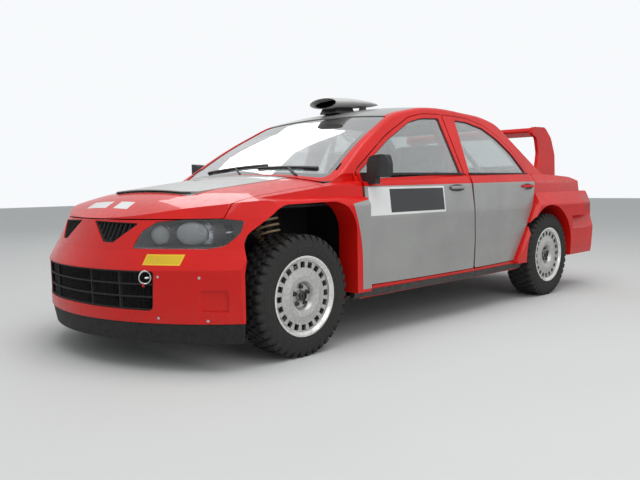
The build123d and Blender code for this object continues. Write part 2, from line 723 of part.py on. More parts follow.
rail_slot = brick((-10, 1000), (-1100, 1500), (RAIL_SPLIT_Z, RAIL_SPLIT_Z + SEAT_GAP))
wall_slot = brick((-10, 1000), (FIREWALL_Y - 2 - SEAT_GAP, FIREWALL_Y - 2), (0, 870))
sill_slot = brick((-10, 1000), (SILL_SPLIT_Y, SILL_SPLIT_Y + SEAT_GAP), (0, 1500))
cowl_zone = brick((-10, 1000), (-2300, COWL_SPLIT_Y), (0, 1500))
side_zone = brick((SIDE_SPLIT_X, 1000), (COWL_SPLIT_Y + SEAT_GAP, 2300), (0, 1500))
boot_zone = brick((-10, SIDE_SPLIT_X - SEAT_GAP), (1000, 2300), (0, 1500))
lower_half = piece(shell_half, cut=(roof_zone(0),))
save(both_sides(piece(shell_half, keep=(roof_zone(SEAT_GAP),), cut=(rail_slot,))), "roof_frame")
save(both_sides(piece(lower_half, keep=(cowl_zone,), cut=(wall_slot,))), "front_frame")
save(both_sides(piece(lower_half, keep=(side_zone,), cut=(sill_slot,))), "body_sides")
save(both_sides(piece(lower_half, keep=(boot_zone,))), "boot_frame")
save(both_sides(piece(lower_outer, keep=(tail_lamp_zone(SEAT_GAP),))), "tail_lamps")

# Boot lid, wing and rear bumper
lid_hollow = piece(
    brick((-10, 1000), (1300, 2300), (500, 1100)),
    keep=(top_solid(TOP_ROWS, SKIN), tail_plan(TAIL_Y - 62 - SKIN)),
)
lug_low, lug_high = LID_HINGE_X + 10, LID_HINGE_X + 18
lid_lug = piece(
    bar((lug_low, *LID_PIVOT), (lug_high, *LID_PIVOT), LUG_RADIUS - 1),
    bar((LID_HINGE_X - 6, *LID_PIVOT), (lug_high, *LID_PIVOT), LUG_PIN_RADIUS),
    brick((lug_low, lug_high), (LID_PIVOT[0], 1503), (LID_PIVOT[1] - 7, LID_PIVOT[1] + 7)),
    brick((lug_low, lug_high), (1489, 1503), (966, LID_PIVOT[1])),
)
lid_skin = piece(lower_outer, keep=(lid_zone,), cut=(lid_hollow,))
save(both_sides(piece(lid_skin, lid_lug)), "boot_lid")

WING_SIDE_ROWS = [
    (1500, 900, 0), (1548, 1110, 60), (1516, 1232, 30), (1440, 1262, 12), (1470, 1318, 24),
    (1655, 1322, 90), (1760, 1236, 90), (1826, 1100, 60), (1836, 900, 0)]
WING_BLADE_ROWS = [(1450, 1272, 10), (1476, 1312, 20), (1640, 1322, 60), (1742, 1262, 3), (1735, 1256, 3),
                   (1620, 1292, 60)]
wing_half = piece(
    across(WING_SIDE_ROWS, 612, 640),
    across(WING_BLADE_ROWS, 0, 620),
    cut=(top_solid(TOP_ROWS, -SEAT_GAP),),
)
save(both_sides(wing_half), "rear_wing")

BUMPER_REAR_ROWS = [(838, 200, 0), (872, 330, 60), (FLARE_X - 4, 500, 20), (858, 560, 30), (800, 700, 0)]


def rear_bumper_form(inset, low, high):
    return piece(
        flare_solid(BUMPER_REAR_ROWS, REAR_AXLE_Y, inset) & brick((0, 1000), (1641, 2300), (low, high)),
        keep=(tail_plan(TAIL_Y - inset),),
    )


rear_bumper_outer = rear_bumper_form(0, 280, REAR_SEAM_Z - SEAT_GAP)
bumper_mouth = brick((-10, 600), (1600, TUB_REAR_Y + 25), (560, 610))
rear_bumper_half = piece(rear_bumper_outer, cut=(rear_bumper_form(20, 200, 578), bumper_mouth))
save(both_sides(rear_bumper_half), "rear_bumper")

# Headlamp lenses and the bowls behind them
lens_half = piece(front_form(2), keep=(facing(LAMP_ROWS, -2300, -1600, -SEAT_GAP),), cut=(front_form(6),))
save(both_sides(lens_half), "headlamps")
LAMP_BACK_Y = -1650
BOWLS = [(505, 652, 48, -1900), (672, 652, 58, -1775)]


bucket = piece(
    facing(LAMP_ROWS, -2300, LAMP_BACK_Y, -SEAT_GAP),
    keep=(front_form(7),),
    cut=(facing(LAMP_ROWS, -2310, LAMP_BACK_Y - 5, -4),),
)
for x, z, radius, front in BOWLS:
    bucket = piece(
        bucket,
        bar((x, front, z), (x, front + 70, z), radius),
        bar((x, front + 60, z), (x, LAMP_BACK_Y - 2, z), 14),
        cut=(bar((x, front - 1, z), (x, front + 62, z), radius - 4),),
    )
save(both_sides(bucket), "lamp_bowls")

# Grille slats, the mesh in the mouth and the cooler behind it
band = piece(front_form(5), cut=(front_form(19),))


def barred(rows, edge, bars):
    """Ring that fills an opening of the front, with bars across it"""
    windows = piece(facing(rows, -2310, -1790, -edge), cut=(piece(*bars),))
    return piece(facing(rows, -2300, -1800, -SEAT_GAP), keep=(band,), cut=(windows,))


slats = [brick((x, x + 6), (-2320, -1780), (590, 730)) for x in range(92, 400, 30)]
mesh_bars = [brick((-20, 700), (-2320, -1780), (z, z + 8)) for z in (360, 420)]
mesh_bars += [brick((x, x + 8), (-2320, -1780), (280, 520)) for x in (180, 370)]
upper_grille = barred(GRILLE_ROWS, 6, slats)
lower_grille = barred(MOUTH_ROWS, 8, mesh_bars)
cooler = brick((0, 470), (-1840, -1760.3), (302, 560))
save(both_sides(piece(upper_grille, lower_grille, cooler)), "grille")

# Side skirts
skirt = piece(
    side_solid(SIDE_ROWS, -4) & brick((800.3, 1000), (-910, 920), (246, SILL_Z - 14.3)),
)
save(both_sides(skirt), "side_skirts")

# Floor with its tunnel and jacking pads, carried between the sills
JACK_PAD_Z = 224
floor_half = piece(
    side_solid(INNER_ROWS, SEAT_GAP) & brick((0, 1000), (FIREWALL_Y + 24.3, 878), (236, 250)),
    brick((0, 574.7), (870, 1109.7), (236, 250)),
    brick((0, 150), (FIREWALL_Y + 24.3, 1109.7), (236, 400)),
    brick((0, 574.7), (1109, TUB_REAR_Y - SEAT_GAP), (418, 429.7)),
    brick((0, 574.7), (1099, 1109.7), (236, 429.7)),
    *[brick((690, 750), (y - 40, y + 40), (JACK_PAD_Z, 240)) for y in (-750, 750)],
    cut=(brick((-10, 138), (FIREWALL_Y, 1099), (200, 388)),),
)
save(both_sides(floor_half), "floor_pan")

# Roof vent
VENT_SIDE_ROWS = [
    (-312, 1366, 10), (-306, 1428, 20), (-120, 1474, 300), (70, 1489, 300), (215, 1477, 12), (222, 1464, 6),
    (60, 1446, 200), (-120, 1430, 200)]
VENT_PLAN_ROWS = [
    (-10, -330, 0), (112, -318, 60), (132, -200, 200), (118, 60, 300), (70, 240, 50), (-10, 250, 0)]
vent_half = piece(
    across(VENT_SIDE_ROWS, 0, 200),
    keep=(flat(VENT_PLAN_ROWS, 1300, 1600),),
    cut=(across([(-400, 1376, 0), (-400, 1418, 0), (-140, 1458, 0), (-90, 1440, 0)], -10, 104),),
)
vent_legs = piece(
    brick((58, 70), (-70, 70), (1300, 1446)),
    brick((58, 70), (-270, -220), (1300, 1400)),
    cut=(upper_form(0, -SEAT_GAP),),
)
save(both_sides(piece(vent_half, vent_legs)), "roof_vent")

# Wipers lying on the windscreen
front_half_space = brick((0, 1000), (-1200, 0), (0, 1500))
wiper_sheet = piece(upper_form(0, -8), keep=(front_half_space,), cut=(upper_form(-20, 5.7),))
whole_sheet = both_sides(wiper_sheet)
WIPER_STRIPS = [
    [(-470, 60, 0), (120, 96, 0), (120, 110, 0), (-470, 74, 0)],
    [(60, 64, 0), (560, 84, 0), (560, 98, 0), (60, 78, 0)],
    [(-60, 4, 0), (-38, 4, 0), (-170, 84, 0), (-192, 84, 0)],
    [(450, 4, 0), (472, 4, 0), (330, 84, 0), (308, 84, 0)],
]
wiper_shapes = [on_screen(SCREEN_BASE, SCREEN_TOP, rows, 60, 200) for rows in WIPER_STRIPS]
save(piece(*wiper_shapes, keep=(whole_sheet,)), "wipers")


def toward(start, end, distance):
    """Point on the way from one place to another"""
    run = Vector(*end) - Vector(*start)
    return Vector(*start) + run * (distance / run.length)


def tube(points, radius, bend):
    """Round tube along straight runs, with each bend made of two mitres"""
    corners = [points[0]]
    for before, corner, after in zip(points, points[1:], points[2:]):
        corners += [toward(corner, before, bend), toward(corner, after, bend)]
    corners.append(points[-1])
    with BuildPart() as made:
        with BuildLine() as path:
            Polyline(*corners)
        with BuildSketch(Plane(origin=path.line @ 0, z_dir=path.line % 0)):
            Circle(radius)
        sweep(path=path.wires()[0], transition=Transition.RIGHT)
    return made.part


# Roll cage
CAGE_RADIUS = 19
HOOP_Y = 392
cage_half = piece(
    tube(
        [(690, HOOP_Y, 250.3), (690, HOOP_Y, 880), (525, HOOP_Y, 1325), (0, HOOP_Y, 1340)], CAGE_RADIUS, 45),
    tube([(690, -850, 250.3), (690, -846, 880), (494, -200, 1268), (488, HOOP_Y, 1318)], CAGE_RADIUS, 55),
    bar((500, HOOP_Y + 10, 1310), (430, 1095, 900), CAGE_RADIUS - 2),
    bar((690, HOOP_Y, 560), (690, -848, 480), CAGE_RADIUS - 3),
    bar((0, HOOP_Y, 640), (690, HOOP_Y, 640), CAGE_RADIUS - 3),
    keep=(brick((0, 1000), (-2000, 2000), (0, 2000)),),
)
save(both_sides(cage_half), "roll_cage")

# Two bucket seats on their side mounts
SEAT_X = 350
SEAT_HALF = 216
SEAT_WALL = 40
SEAT_ROWS = [
    (-150, 420, 40), (-170, 600, 60), (180, 590, 60), (330, 1130, 60), (400, 1160, 40), (420, 1120, 30),
    (300, 440, 60)]
SEAT_HOLLOW_ROWS = [
    (-240, 490, 0), (-240, 700, 0), (120, 700, 0), (270, 1250, 0), (365, 1250, 0), (225, 480, 60)]
seat = piece(
    across(SEAT_ROWS, SEAT_X - SEAT_HALF, SEAT_X + SEAT_HALF),
    brick((SEAT_X - 200, SEAT_X - 190), (-100, 260), (250.3, 430)),
    brick((SEAT_X + 190, SEAT_X + 200), (-100, 260), (250.3, 430)),
    cut=(across(SEAT_HOLLOW_ROWS, SEAT_X + SEAT_WALL - SEAT_HALF, SEAT_X + SEAT_HALF - SEAT_WALL),),
)
save(both_sides(seat), "seats")

# Dashboard with the steering wheel on its column
DASH_FRONT_Y = FIREWALL_Y + 24.3
DASH_ROWS = [
    (DASH_FRONT_Y, 700, 0), (DASH_FRONT_Y, 900, 0), (-860, 925, 20), (-660, 880, 40), (-650, 740, 30)]
dash = across(DASH_ROWS, -645, 645)
WHEEL_CENTRE = (SEAT_X, -430, 800)
column = bar((SEAT_X, -700, 720), (SEAT_X, -425, 801), 22)
wheel_plane = Plane(origin=WHEEL_CENTRE, z_dir=(0, 275, 81))
with BuildPart() as steering_wheel:
    with BuildSketch(Plane(origin=WHEEL_CENTRE, x_dir=(1, 0, 0), z_dir=(0, -81, 275))):
        with Locations((165, 0)):
            RegularPolygon(14, 6)
    revolve(axis=Axis(WHEEL_CENTRE, (0, 275, 81)))
    with BuildSketch(wheel_plane.offset(-6)):
        with PolarLocations(80, 3, 90):
            Rectangle(170, 26)
    extrude(amount=12)
save(piece(dash, column, steering_wheel.part), "dashboard")

save(brick((-300, 300), (-1640, -1300), (280.3, 690)), "engine_block")

# Front running gear: crossmember, lower arms, and knuckles with their struts
BALL = (690, FRONT_AXLE_Y, 205)
STRUT_TOP = (560, FRONT_AXLE_Y, 763)
STEER_AXIS = tuple((b - a) / hypot(130, 558) for a, b in zip(BALL, STRUT_TOP))


def on_strut(distance):
    return tuple(a + d * distance for a, d in zip(BALL, STEER_AXIS))


def ball(place, radius):
    return Pos(*place) * Sphere(radius)


arm_rows = [
    (330, -1450, 0), (380, -1450, 20), (720, -1345, 20), (720, -1295, 20), (380, -1190, 20), (330, -1190, 0)]
arm_window_rows = [(430, -1360, 20), (600, -1330, 20), (600, -1310, 20), (430, -1280, 20)]
front_arm = piece(
    flat(arm_rows, 190, 214),
    brick((0, 360), (-1460, -1180), (200, 280)),
    brick((330, WING_WALL_X + 14), (-1400, -1250), (262, 299.7)),
    cut=(ball(BALL, 12.3), bar(BALL, on_strut(60), 11), flat(arm_window_rows, 100, 230)),
)
save(both_sides(front_arm), "front_suspension")

HUB_RADIUS = 20
knuckle = piece(
    ball(BALL, 12),
    bar(BALL, on_strut(45), 8),
    bar(on_strut(30), on_strut(110), 22),
    bar(on_strut(100), on_strut(568), 24),
    bar(on_strut(330), on_strut(340), 45),
    brick((662, 700), (-1365, -1275), (235, 400)),
    bar((690, FRONT_AXLE_Y, HUB_Z), (WHEEL_X + 36, FRONT_AXLE_Y, HUB_Z), HUB_RADIUS),
    brick((640, 690), (-1350, -1290), (330, 420)),
)
save(knuckle, "knuckle_left")
save(mirror(knuckle, about=Plane.YZ), "knuckle_right")

# Rear running gear: beam, arms, struts and stub axles
rear_gear = piece(
    brick((0, 420), (1230, 1330), (250, 330)),
    brick((400, 640), (1255, 1305), (262, 292)),
    brick((600, 660), (1235, 1325), (250, 400)),
    bar((640, REAR_AXLE_Y, HUB_Z), (WHEEL_X + 36, REAR_AXLE_Y, HUB_Z), HUB_RADIUS),
    bar((575, REAR_AXLE_Y, 330), (575, REAR_AXLE_Y, 417.7), 26),
    brick((560, 640), (1250, 1310), (300, 350)),
)
save(both_sides(rear_gear), "rear_suspension")

# Exhaust under the floor
exhaust_pipe = bar((-300, -600, 201), (-300, TAIL_Y - 20, 201), 30)
silencer = bar((-300, 300, 201), (-300, 900, 201), 34.7)
save(piece(exhaust_pipe, silencer), "exhaust")

# Door mirrors
MIRROR_PLAN = [(806, -775, 16), (905, -773, 40), (948, -735, 24), (948, -700, 6), (806, -700, 6)]
MIRROR_FACE = [
    (806, 918, 16), (944, 918, 24), (946, 990, 60), (928, 1046, 22), (832, 1036, 30), (806, 980, 30)]
mirror_seat = piece(side_solid(SIDE_ROWS, -SEAT_GAP) & half_rear, keep=(top_solid(TOP_ROWS, -SEAT_GAP),))
mirror_left = piece(
    flat(MIRROR_PLAN, 900, 1060) & facing(MIRROR_FACE, -800, -690),
    brick((770, 880), (-775, -735), (880, 940)),
    cut=(mirror_seat, upper_form(-SEAT_GAP, -SEAT_GAP)),
)
save(mirror_left, "mirror_left")
save(mirror(mirror_left, about=Plane.YZ), "mirror_right")

# Wheels, modelled about the X axis with the outer face towards +X
HALF_TYRE = TYRE_WIDTH / 2
BEAD_RADIUS = 193
SLOT_FACE_X = 82
RIM_BAND_ROWS = [
    (-100, RIM_RADIUS, 0), (-90, BEAD_RADIUS, 0), (90, BEAD_RADIUS, 0), (100, RIM_RADIUS, 0),
    (101, 198, 0), (88, 183, 0), (-88, 183, 0), (-101, 198, 0)]
RIM_DISC_ROWS = [
    (70, 185, 0), (SLOT_FACE_X, 185, 0), (SLOT_FACE_X, 142, 0), (91, 104, 0), (84, 76, 0), (60, 60, 0),
    (60, 32, 0), (74, 28, 0), (74, 0, 0), (-34, 0, 0), (-34, 42, 0), (-24, 42, 0), (-24, 148, 0),
    (0, 148, 0), (0, 62, 0), (48, 62, 0), (74, 96, 0), (70, 142, 0)]
SLOT_COUNT = 20
SLOT_RING = 162
with BuildPart() as rim:
    add(turned(RIM_BAND_ROWS, Plane.XY, Axis.X))
    add(turned(RIM_DISC_ROWS, Plane.XY, Axis.X))
    with BuildSketch(Plane.YZ.offset(SLOT_FACE_X - 20)):
        with PolarLocations(SLOT_RING, SLOT_COUNT):
            Rectangle(30, 30)
    extrude(amount=30, mode=Mode.SUBTRACT)
    with BuildSketch(Plane.YZ.offset(-60)):
        Circle(HUB_RADIUS + SEAT_GAP)
    extrude(amount=97, mode=Mode.SUBTRACT)

# The tread blocks are left to the scene
TYRE_ROWS = [
    (-89.6, BEAD_RADIUS + SEAT_GAP, 0), (-HALF_TYRE, 240, 0), (-97, 292, 0), (-80, TYRE_RADIUS, 0),
    (80, TYRE_RADIUS, 0), (97, 292, 0), (HALF_TYRE, 240, 0), (89.6, BEAD_RADIUS + SEAT_GAP, 0)]
tyre_part = turned(TYRE_ROWS, Plane.XY, Axis.X)
for end, y in (("front", FRONT_AXLE_Y), ("rear", REAR_AXLE_Y)):
    for side, sign in (("left", 1), ("right", -1)):
        place = Pos(sign * WHEEL_X, y, HUB_Z)
        for shape, name in ((rim.part, "rim"), (tyre_part, "tyre")):
            turned_shape = shape if sign > 0 else mirror(shape, about=Plane.YZ)
            save(place * turned_shape, f"{name}_{end}_{side}")
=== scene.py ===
"""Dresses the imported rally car: paint, glass, rubber and small parts, on a pale studio floor."""
from math import asin, cos, degrees, exp, pi, radians, sin

import bmesh
import bpy
from mathutils import Matrix, Vector


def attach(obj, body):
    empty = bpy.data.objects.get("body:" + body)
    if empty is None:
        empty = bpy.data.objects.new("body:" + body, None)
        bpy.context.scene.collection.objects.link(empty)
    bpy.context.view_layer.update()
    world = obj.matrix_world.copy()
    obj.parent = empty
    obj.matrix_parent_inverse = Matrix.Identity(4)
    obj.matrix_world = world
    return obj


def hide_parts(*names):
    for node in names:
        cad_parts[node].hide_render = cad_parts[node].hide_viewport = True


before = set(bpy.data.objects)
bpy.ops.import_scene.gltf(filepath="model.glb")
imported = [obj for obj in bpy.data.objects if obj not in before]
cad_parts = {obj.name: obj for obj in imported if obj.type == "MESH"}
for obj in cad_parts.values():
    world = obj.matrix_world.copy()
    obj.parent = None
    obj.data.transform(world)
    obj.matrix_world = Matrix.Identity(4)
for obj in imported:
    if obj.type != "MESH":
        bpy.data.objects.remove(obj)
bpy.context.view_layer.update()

SIDES = {"left": 1, "right": -1}
AXLES = {"front": -1.320, "rear": 1.280}
HUB_Z = 0.315
WHEEL_X = 0.7725
NOSE_CENTRE_Y = -0.960  # in plan the nose is round about this place
FLANK_CURVE = 40.0  # the flanks fall back by y * y / FLANK_CURVE
SEAT_X = 0.350
SEAT_FOOT_Y, SEAT_FOOT_Z = 0.225, 0.480  # where the seat's back starts
LEAN_SINE, LEAN_COSINE = 0.179, 0.984  # of the seat's back

# Colours as they show under plain light
RED = (0.64, 0.008, 0.005)
SILVER = (0.37, 0.37, 0.36)
FLAKE = 0.55  # how metallic the silver is
BLACK = (0.012, 0.012, 0.013)
DARK = (0.045, 0.047, 0.05)
WHITE = (0.78, 0.78, 0.77)
DUST = (0.16, 0.13, 0.10)
DUST_LOW_Z, DUST_TOP_Z = 0.16, 0.42
YELLOW = (0.82, 0.55, 0.03)


# Shader helpers


def add_node(tree, kind, inputs=None, **settings):
    """One shader node; inputs are values, or outputs of other nodes"""
    made = tree.nodes.new(kind)
    for name, value in settings.items():
        setattr(made, name, value)
    for name, value in (inputs or {}).items():
        if isinstance(value, bpy.types.NodeSocket):
            tree.links.new(value, made.inputs[name])
        else:
            made.inputs[name].default_value = value
    return made


def sums(tree, operation, first, second=0.0, third=0.0, clamp=False):
    """Output of one Math node"""
    made = add_node(tree, "ShaderNodeMath", operation=operation, use_clamp=clamp)
    for socket, value in zip(made.inputs, (first, second, third)):
        if isinstance(value, bpy.types.NodeSocket):
            tree.links.new(value, socket)
        else:
            socket.default_value = value
    return made.outputs[0]


class Place:
    """Object coordinates of a material, with masks drawn on them"""

    EDGE = 900.0

    def __init__(self, tree):
        self.tree = tree
        self.point = add_node(tree, "ShaderNodeTexCoord").outputs["Object"]
        split = add_node(tree, "ShaderNodeSeparateXYZ", {"Vector": self.point})
        self.x, self.y, self.z = split.outputs
        self.wide = sums(tree, "ABSOLUTE", self.x)

    def sharp(self, distance):
        """1 where a distance is over zero, with an edge about a millimetre wide"""
        return sums(self.tree, "MULTIPLY_ADD", distance, self.EDGE, 0.5, clamp=True)

    def over(self, value, limit):
        """1 where a coordinate lies over a limit"""
        return self.sharp(sums(self.tree, "SUBTRACT", value, limit))

    def under(self, value, limit):
        """1 where a coordinate lies under a limit"""
        return self.sharp(sums(self.tree, "SUBTRACT", limit, value))

    def line(self, along, start, end):
        """Height of a straight line over a coordinate"""
        slope = (end[1] - start[1]) / (end[0] - start[0])
        return sums(self.tree, "MULTIPLY_ADD", along, slope, start[1] - slope * start[0])

    def both(self, *masks):
        """1 where all masks are"""
        made = masks[0]
        for mask in masks[1:]:
            made = sums(self.tree, "MINIMUM", made, mask)
        return made

    def either(self, *masks):
        """1 where any mask is"""
        made = masks[0]
        for mask in masks[1:]:
            made = sums(self.tree, "MAXIMUM", made, mask)
        return made

    def box(self, a, low_a, high_a, b, low_b, high_b):
        """1 in a rectangle over two coordinates"""
        return self.both(
            self.over(a, low_a), self.under(a, high_a), self.over(b, low_b), self.under(b, high_b))

    def noise(self, scale, detail=4.0):
        """Cloudy value about a half"""
        return add_node(
            self.tree, "ShaderNodeTexNoise",
            {"Vector": self.point, "Scale": scale, "Detail": detail, "Roughness": 0.55},
        ).outputs["Fac"]

    def ramp(self, value, low, high, to_low=0.0, to_high=1.0):
        """Carries one range over to another, and stops at its ends"""
        made = add_node(self.tree, "ShaderNodeMapRange", {
            "Value": value, "From Min": low, "From Max": high, "To Min": to_low, "To Max": to_high})
        return made.outputs["Result"]

    def mix(self, mask, under, over):
        """Colour or number laid over another by a mask"""
        colour = (
            isinstance(under, tuple) or isinstance(over, tuple)
            or getattr(under, "type", "") == "RGBA")
        made = add_node(self.tree, "ShaderNodeMix", data_type="RGBA" if colour else "FLOAT")
        first, second = (6, 7) if colour else (2, 3)
        for index, value in ((0, mask), (first, under), (second, over)):
            if isinstance(value, bpy.types.NodeSocket):
                self.tree.links.new(value, made.inputs[index])
            elif isinstance(value, tuple):
                made.inputs[index].default_value = (*value, 1.0)
            else:
                made.inputs[index].default_value = value
        return made.outputs[2 if colour else 0]


def material(name, **values):
    """New material with its shader's own values; gives the material, the shader and its Place"""
    made = bpy.data.materials.new(name)
    made.use_nodes = True
    shader = made.node_tree.nodes["Principled BSDF"]
    for key, value in values.items():
        value = (*value, 1.0) if isinstance(value, tuple) else value
        shader.inputs[key.replace("_", " ")].default_value = value
    return made, shader, Place(made.node_tree)


def feed(shader, place, **outputs):
    """Links outputs to the shader's inputs of the same names"""
    for key, value in outputs.items():
        place.tree.links.new(value, shader.inputs[key.replace("_", " ")])


def bumped(shader, place, height, strength, distance):
    """Fine relief in the shading alone"""
    bump = add_node(
        place.tree, "ShaderNodeBump",
        {"Height": height, "Strength": strength, "Distance": distance})
    place.tree.links.new(bump.outputs["Normal"], shader.inputs["Normal"])


# Finishes


def dusty(place, colour, most):
    """Road dust that thins out with height"""
    amount = place.ramp(place.z, DUST_TOP_Z, DUST_LOW_Z)
    speckle = place.ramp(place.noise(38.0), 0.35, 0.75)
    share = sums(place.tree, "MULTIPLY", amount, speckle)
    strength = sums(place.tree, "MULTIPLY", share, most)
    return place.mix(strength, colour, DUST)


def car_paint(name, areas=None):
    """Clear coated red, with areas(place) giving (mask, colour, metallic) laid over it"""
    made, shader, place = material(
        name, Roughness=0.42, Coat_Weight=0.4, Coat_Roughness=0.035, Specular_IOR_Level=0.12)
    shade = place.ramp(place.noise(3.0, 2.0), 0.3, 0.7, 0.9, 1.08)
    tint = add_node(place.tree, "ShaderNodeMix", data_type="RGBA", blend_type="MULTIPLY")
    tint.inputs[0].default_value = 1.0
    colour = RED
    metal = 0.0
    for mask, over, metallic in (areas(place) if areas else ()):
        colour = place.mix(mask, colour, over)
        metal = place.mix(mask, metal, metallic)
    if isinstance(colour, tuple):
        tint.inputs[6].default_value = (*colour, 1.0)
    else:
        place.tree.links.new(colour, tint.inputs[6])
        feed(shader, place, Metallic=metal)
    place.tree.links.new(shade, tint.inputs[7])
    feed(shader, place, Base_Color=dusty(place, tint.outputs[2], most=0.2))
    feed(shader, place, Roughness=place.ramp(place.noise(24.0), 0.3, 0.75, 0.36, 0.5))
    bumped(shader, place, place.noise(420.0, 1.0), 0.05, 0.0004)
    return made


def door_areas(place):
    """Silver side panel with the pale and the dark blank panel at its top"""
    outside = place.over(place.wide, 0.70)
    top = place.under(place.z, place.line(place.y, (-0.79, 0.868), (1.19, 0.880)))
    panel = place.both(top, place.over(place.z, 0.309), outside)
    pale = place.both(place.box(place.z, 0.700, 0.862, place.y, -0.785, -0.075), outside)
    dark = place.both(place.box(place.z, 0.713, 0.850, place.y, -0.605, -0.086), outside)
    return (panel, SILVER, FLAKE), (pale, WHITE, 0.0), (dark, DARK, 0.0)


def fender_areas(place):
    """Silver corner behind the front arch, with a front edge that leans forward as it rises"""
    rise = place.ramp(place.z, 0.45, 0.775)
    front = sums(place.tree, "MULTIPLY_ADD", sums(place.tree, "MULTIPLY", rise, rise), -0.07, -0.90)
    top = place.under(place.z, place.line(place.y, (-0.97, 0.775), (-0.79, 0.80)))
    corner = place.both(
        place.sharp(sums(place.tree, "SUBTRACT", place.y, front)), top, place.over(place.z, 0.302),
        place.over(place.wide, 0.8))
    return ((corner, SILVER, FLAKE),)


def shell_areas(place):
    """Silver roof between the rails, black inside and underneath"""
    roof = place.both(place.over(place.z, 1.30), place.under(place.wide, 0.545))
    inside = place.both(
        place.under(place.wide, 0.752), place.under(place.z, 0.90), place.under(place.y, 1.47))
    return (roof, SILVER, FLAKE), (inside, BLACK, 0.0)


def bonnet_areas(place):
    """Silver vent panel, two slanted white patches ahead of it, and a black underside"""
    edge = place.line(place.y, (-1.650, 0.4265), (-1.066, 0.4725))
    panel = place.both(
        place.sharp(sums(place.tree, "SUBTRACT", edge, place.wide)), place.over(place.y, -1.6955),
        place.over(place.z, 0.80))
    slant = sums(place.tree, "MULTIPLY_ADD", place.y, 0.55, place.x)
    ahead = place.both(place.over(place.y, -1.925), place.under(place.y, -1.848))
    left = place.both(ahead, place.over(slant, -1.305), place.under(slant, -1.09))
    right = place.both(ahead, place.over(slant, -1.01), place.under(slant, -0.87))
    lining = place.under(place.z, place.ramp(place.y, -2.03, -1.06, 0.66, 0.86))
    lining = place.both(lining, place.under(place.wide, 0.70))
    white = place.either(left, right)
    return (panel, SILVER, FLAKE), (white, WHITE, 0.0), (lining, BLACK, 0.0)


def vent_areas(place):
    """Pale pod, with black painted shade inside its oval mouth and its closed throat"""
    tree = place.tree
    mouth_z, half_height, half_width = 1.4375, 0.0262, 0.1160
    up = sums(tree, "MULTIPLY", sums(tree, "SUBTRACT", place.z, mouth_z), 1 / half_height)
    out = sums(tree, "MULTIPLY", place.x, 1 / half_width)
    reach = sums(tree, "ADD", sums(tree, "MULTIPLY", up, up), sums(tree, "MULTIPLY", out, out))
    # Black painted shade fills the throat and its closed end, in place of the dark duct beyond the
    # mouth
    painted_shade_throat = place.both(place.under(reach, 1.0), place.under(place.y, -0.14))
    return (place.over(place.z, 1.0), (0.55, 0.55, 0.54), 0.1), (painted_shade_throat, BLACK, 0.0)


def bumper_areas(place):
    """Blank yellow patch below the left lamp, a shade darker within its edge"""
    outside = place.under(place.y, -1.80)
    patch = place.both(place.box(place.x, 0.497, 0.667, place.z, 0.515, 0.564), outside)
    field = place.both(place.box(place.x, 0.503, 0.661, place.z, 0.521, 0.558), outside)
    return (patch, YELLOW, 0.0), (field, tuple(c * 0.86 for c in YELLOW), 0.0)


def moulded(name, colour, roughness=0.5, grain=260.0, depth=0.25, dust=0.55):
    """Moulded plastic or coated metal with a fine grain"""
    made, shader, place = material(name, Roughness=roughness)
    worn = place.mix(place.noise(60.0), colour, tuple(c * 1.5 for c in colour))
    feed(shader, place, Base_Color=dusty(place, worn, most=dust))
    uneven = place.ramp(place.noise(45.0), 0.3, 0.7, roughness - 0.08, roughness + 0.1)
    feed(shader, place, Roughness=uneven)
    bumped(shader, place, place.noise(grain, 2.0), depth, 0.0006)
    return made


def bare_metal(name, colour, roughness):
    """Brushed or cast metal"""
    grain = 140.0
    made, shader, place = material(name, Metallic=1.0)
    dull = tuple(c * 0.75 for c in colour)
    feed(shader, place, Base_Color=place.mix(place.noise(30.0), colour, dull))
    uneven = place.ramp(place.noise(grain), 0.3, 0.7, roughness - 0.06, roughness + 0.12)
    feed(shader, place, Roughness=uneven)
    bumped(shader, place, place.noise(grain * 2, 2.0), 0.12, 0.0005)
    return made


def window_glass(name, tint, bend=1.45, shine=0.0, covered=None):
    """Clear glass under a reflecting coat; covered(place) masks its black printed border"""
    made, shader, place = material(
        name, Base_Color=tint, Transmission_Weight=1.0, IOR=bend, Coat_Weight=shine,
        Coat_IOR=2.6, Coat_Roughness=0.02)
    feed(shader, place, Roughness=place.ramp(place.noise(7.0), 0.45, 0.8, 0.0, 0.05))
    if covered:
        mask = covered(place)
        feed(shader, place, Base_Color=place.mix(mask, tint, BLACK))
        feed(shader, place, Transmission_Weight=place.mix(mask, 1.0, 0.0))
    return made


def screen_border(place):
    """Sun strip and dark border of the windscreen"""
    dip = sums(place.tree, "MULTIPLY", place.x, place.x)
    strip = place.over(place.z, sums(place.tree, "MULTIPLY_ADD", dip, -0.16, 1.252))
    edge = place.line(place.z, (0.93, 0.660), (1.32, 0.536))
    side = place.sharp(sums(place.tree, "SUBTRACT", place.wide, edge))
    foot = place.under(place.z, place.ramp(place.wide, 0.0, 0.68, 0.972, 0.938))
    return place.either(strip, side, foot)


def rear_border(place):
    """Dark border of the rear window"""
    edge = place.line(place.z, (1.0, 0.560), (1.30, 0.500))
    side = place.sharp(sums(place.tree, "SUBTRACT", place.wide, edge))
    return place.either(side, place.over(place.z, 1.282), place.under(place.z, 1.006))


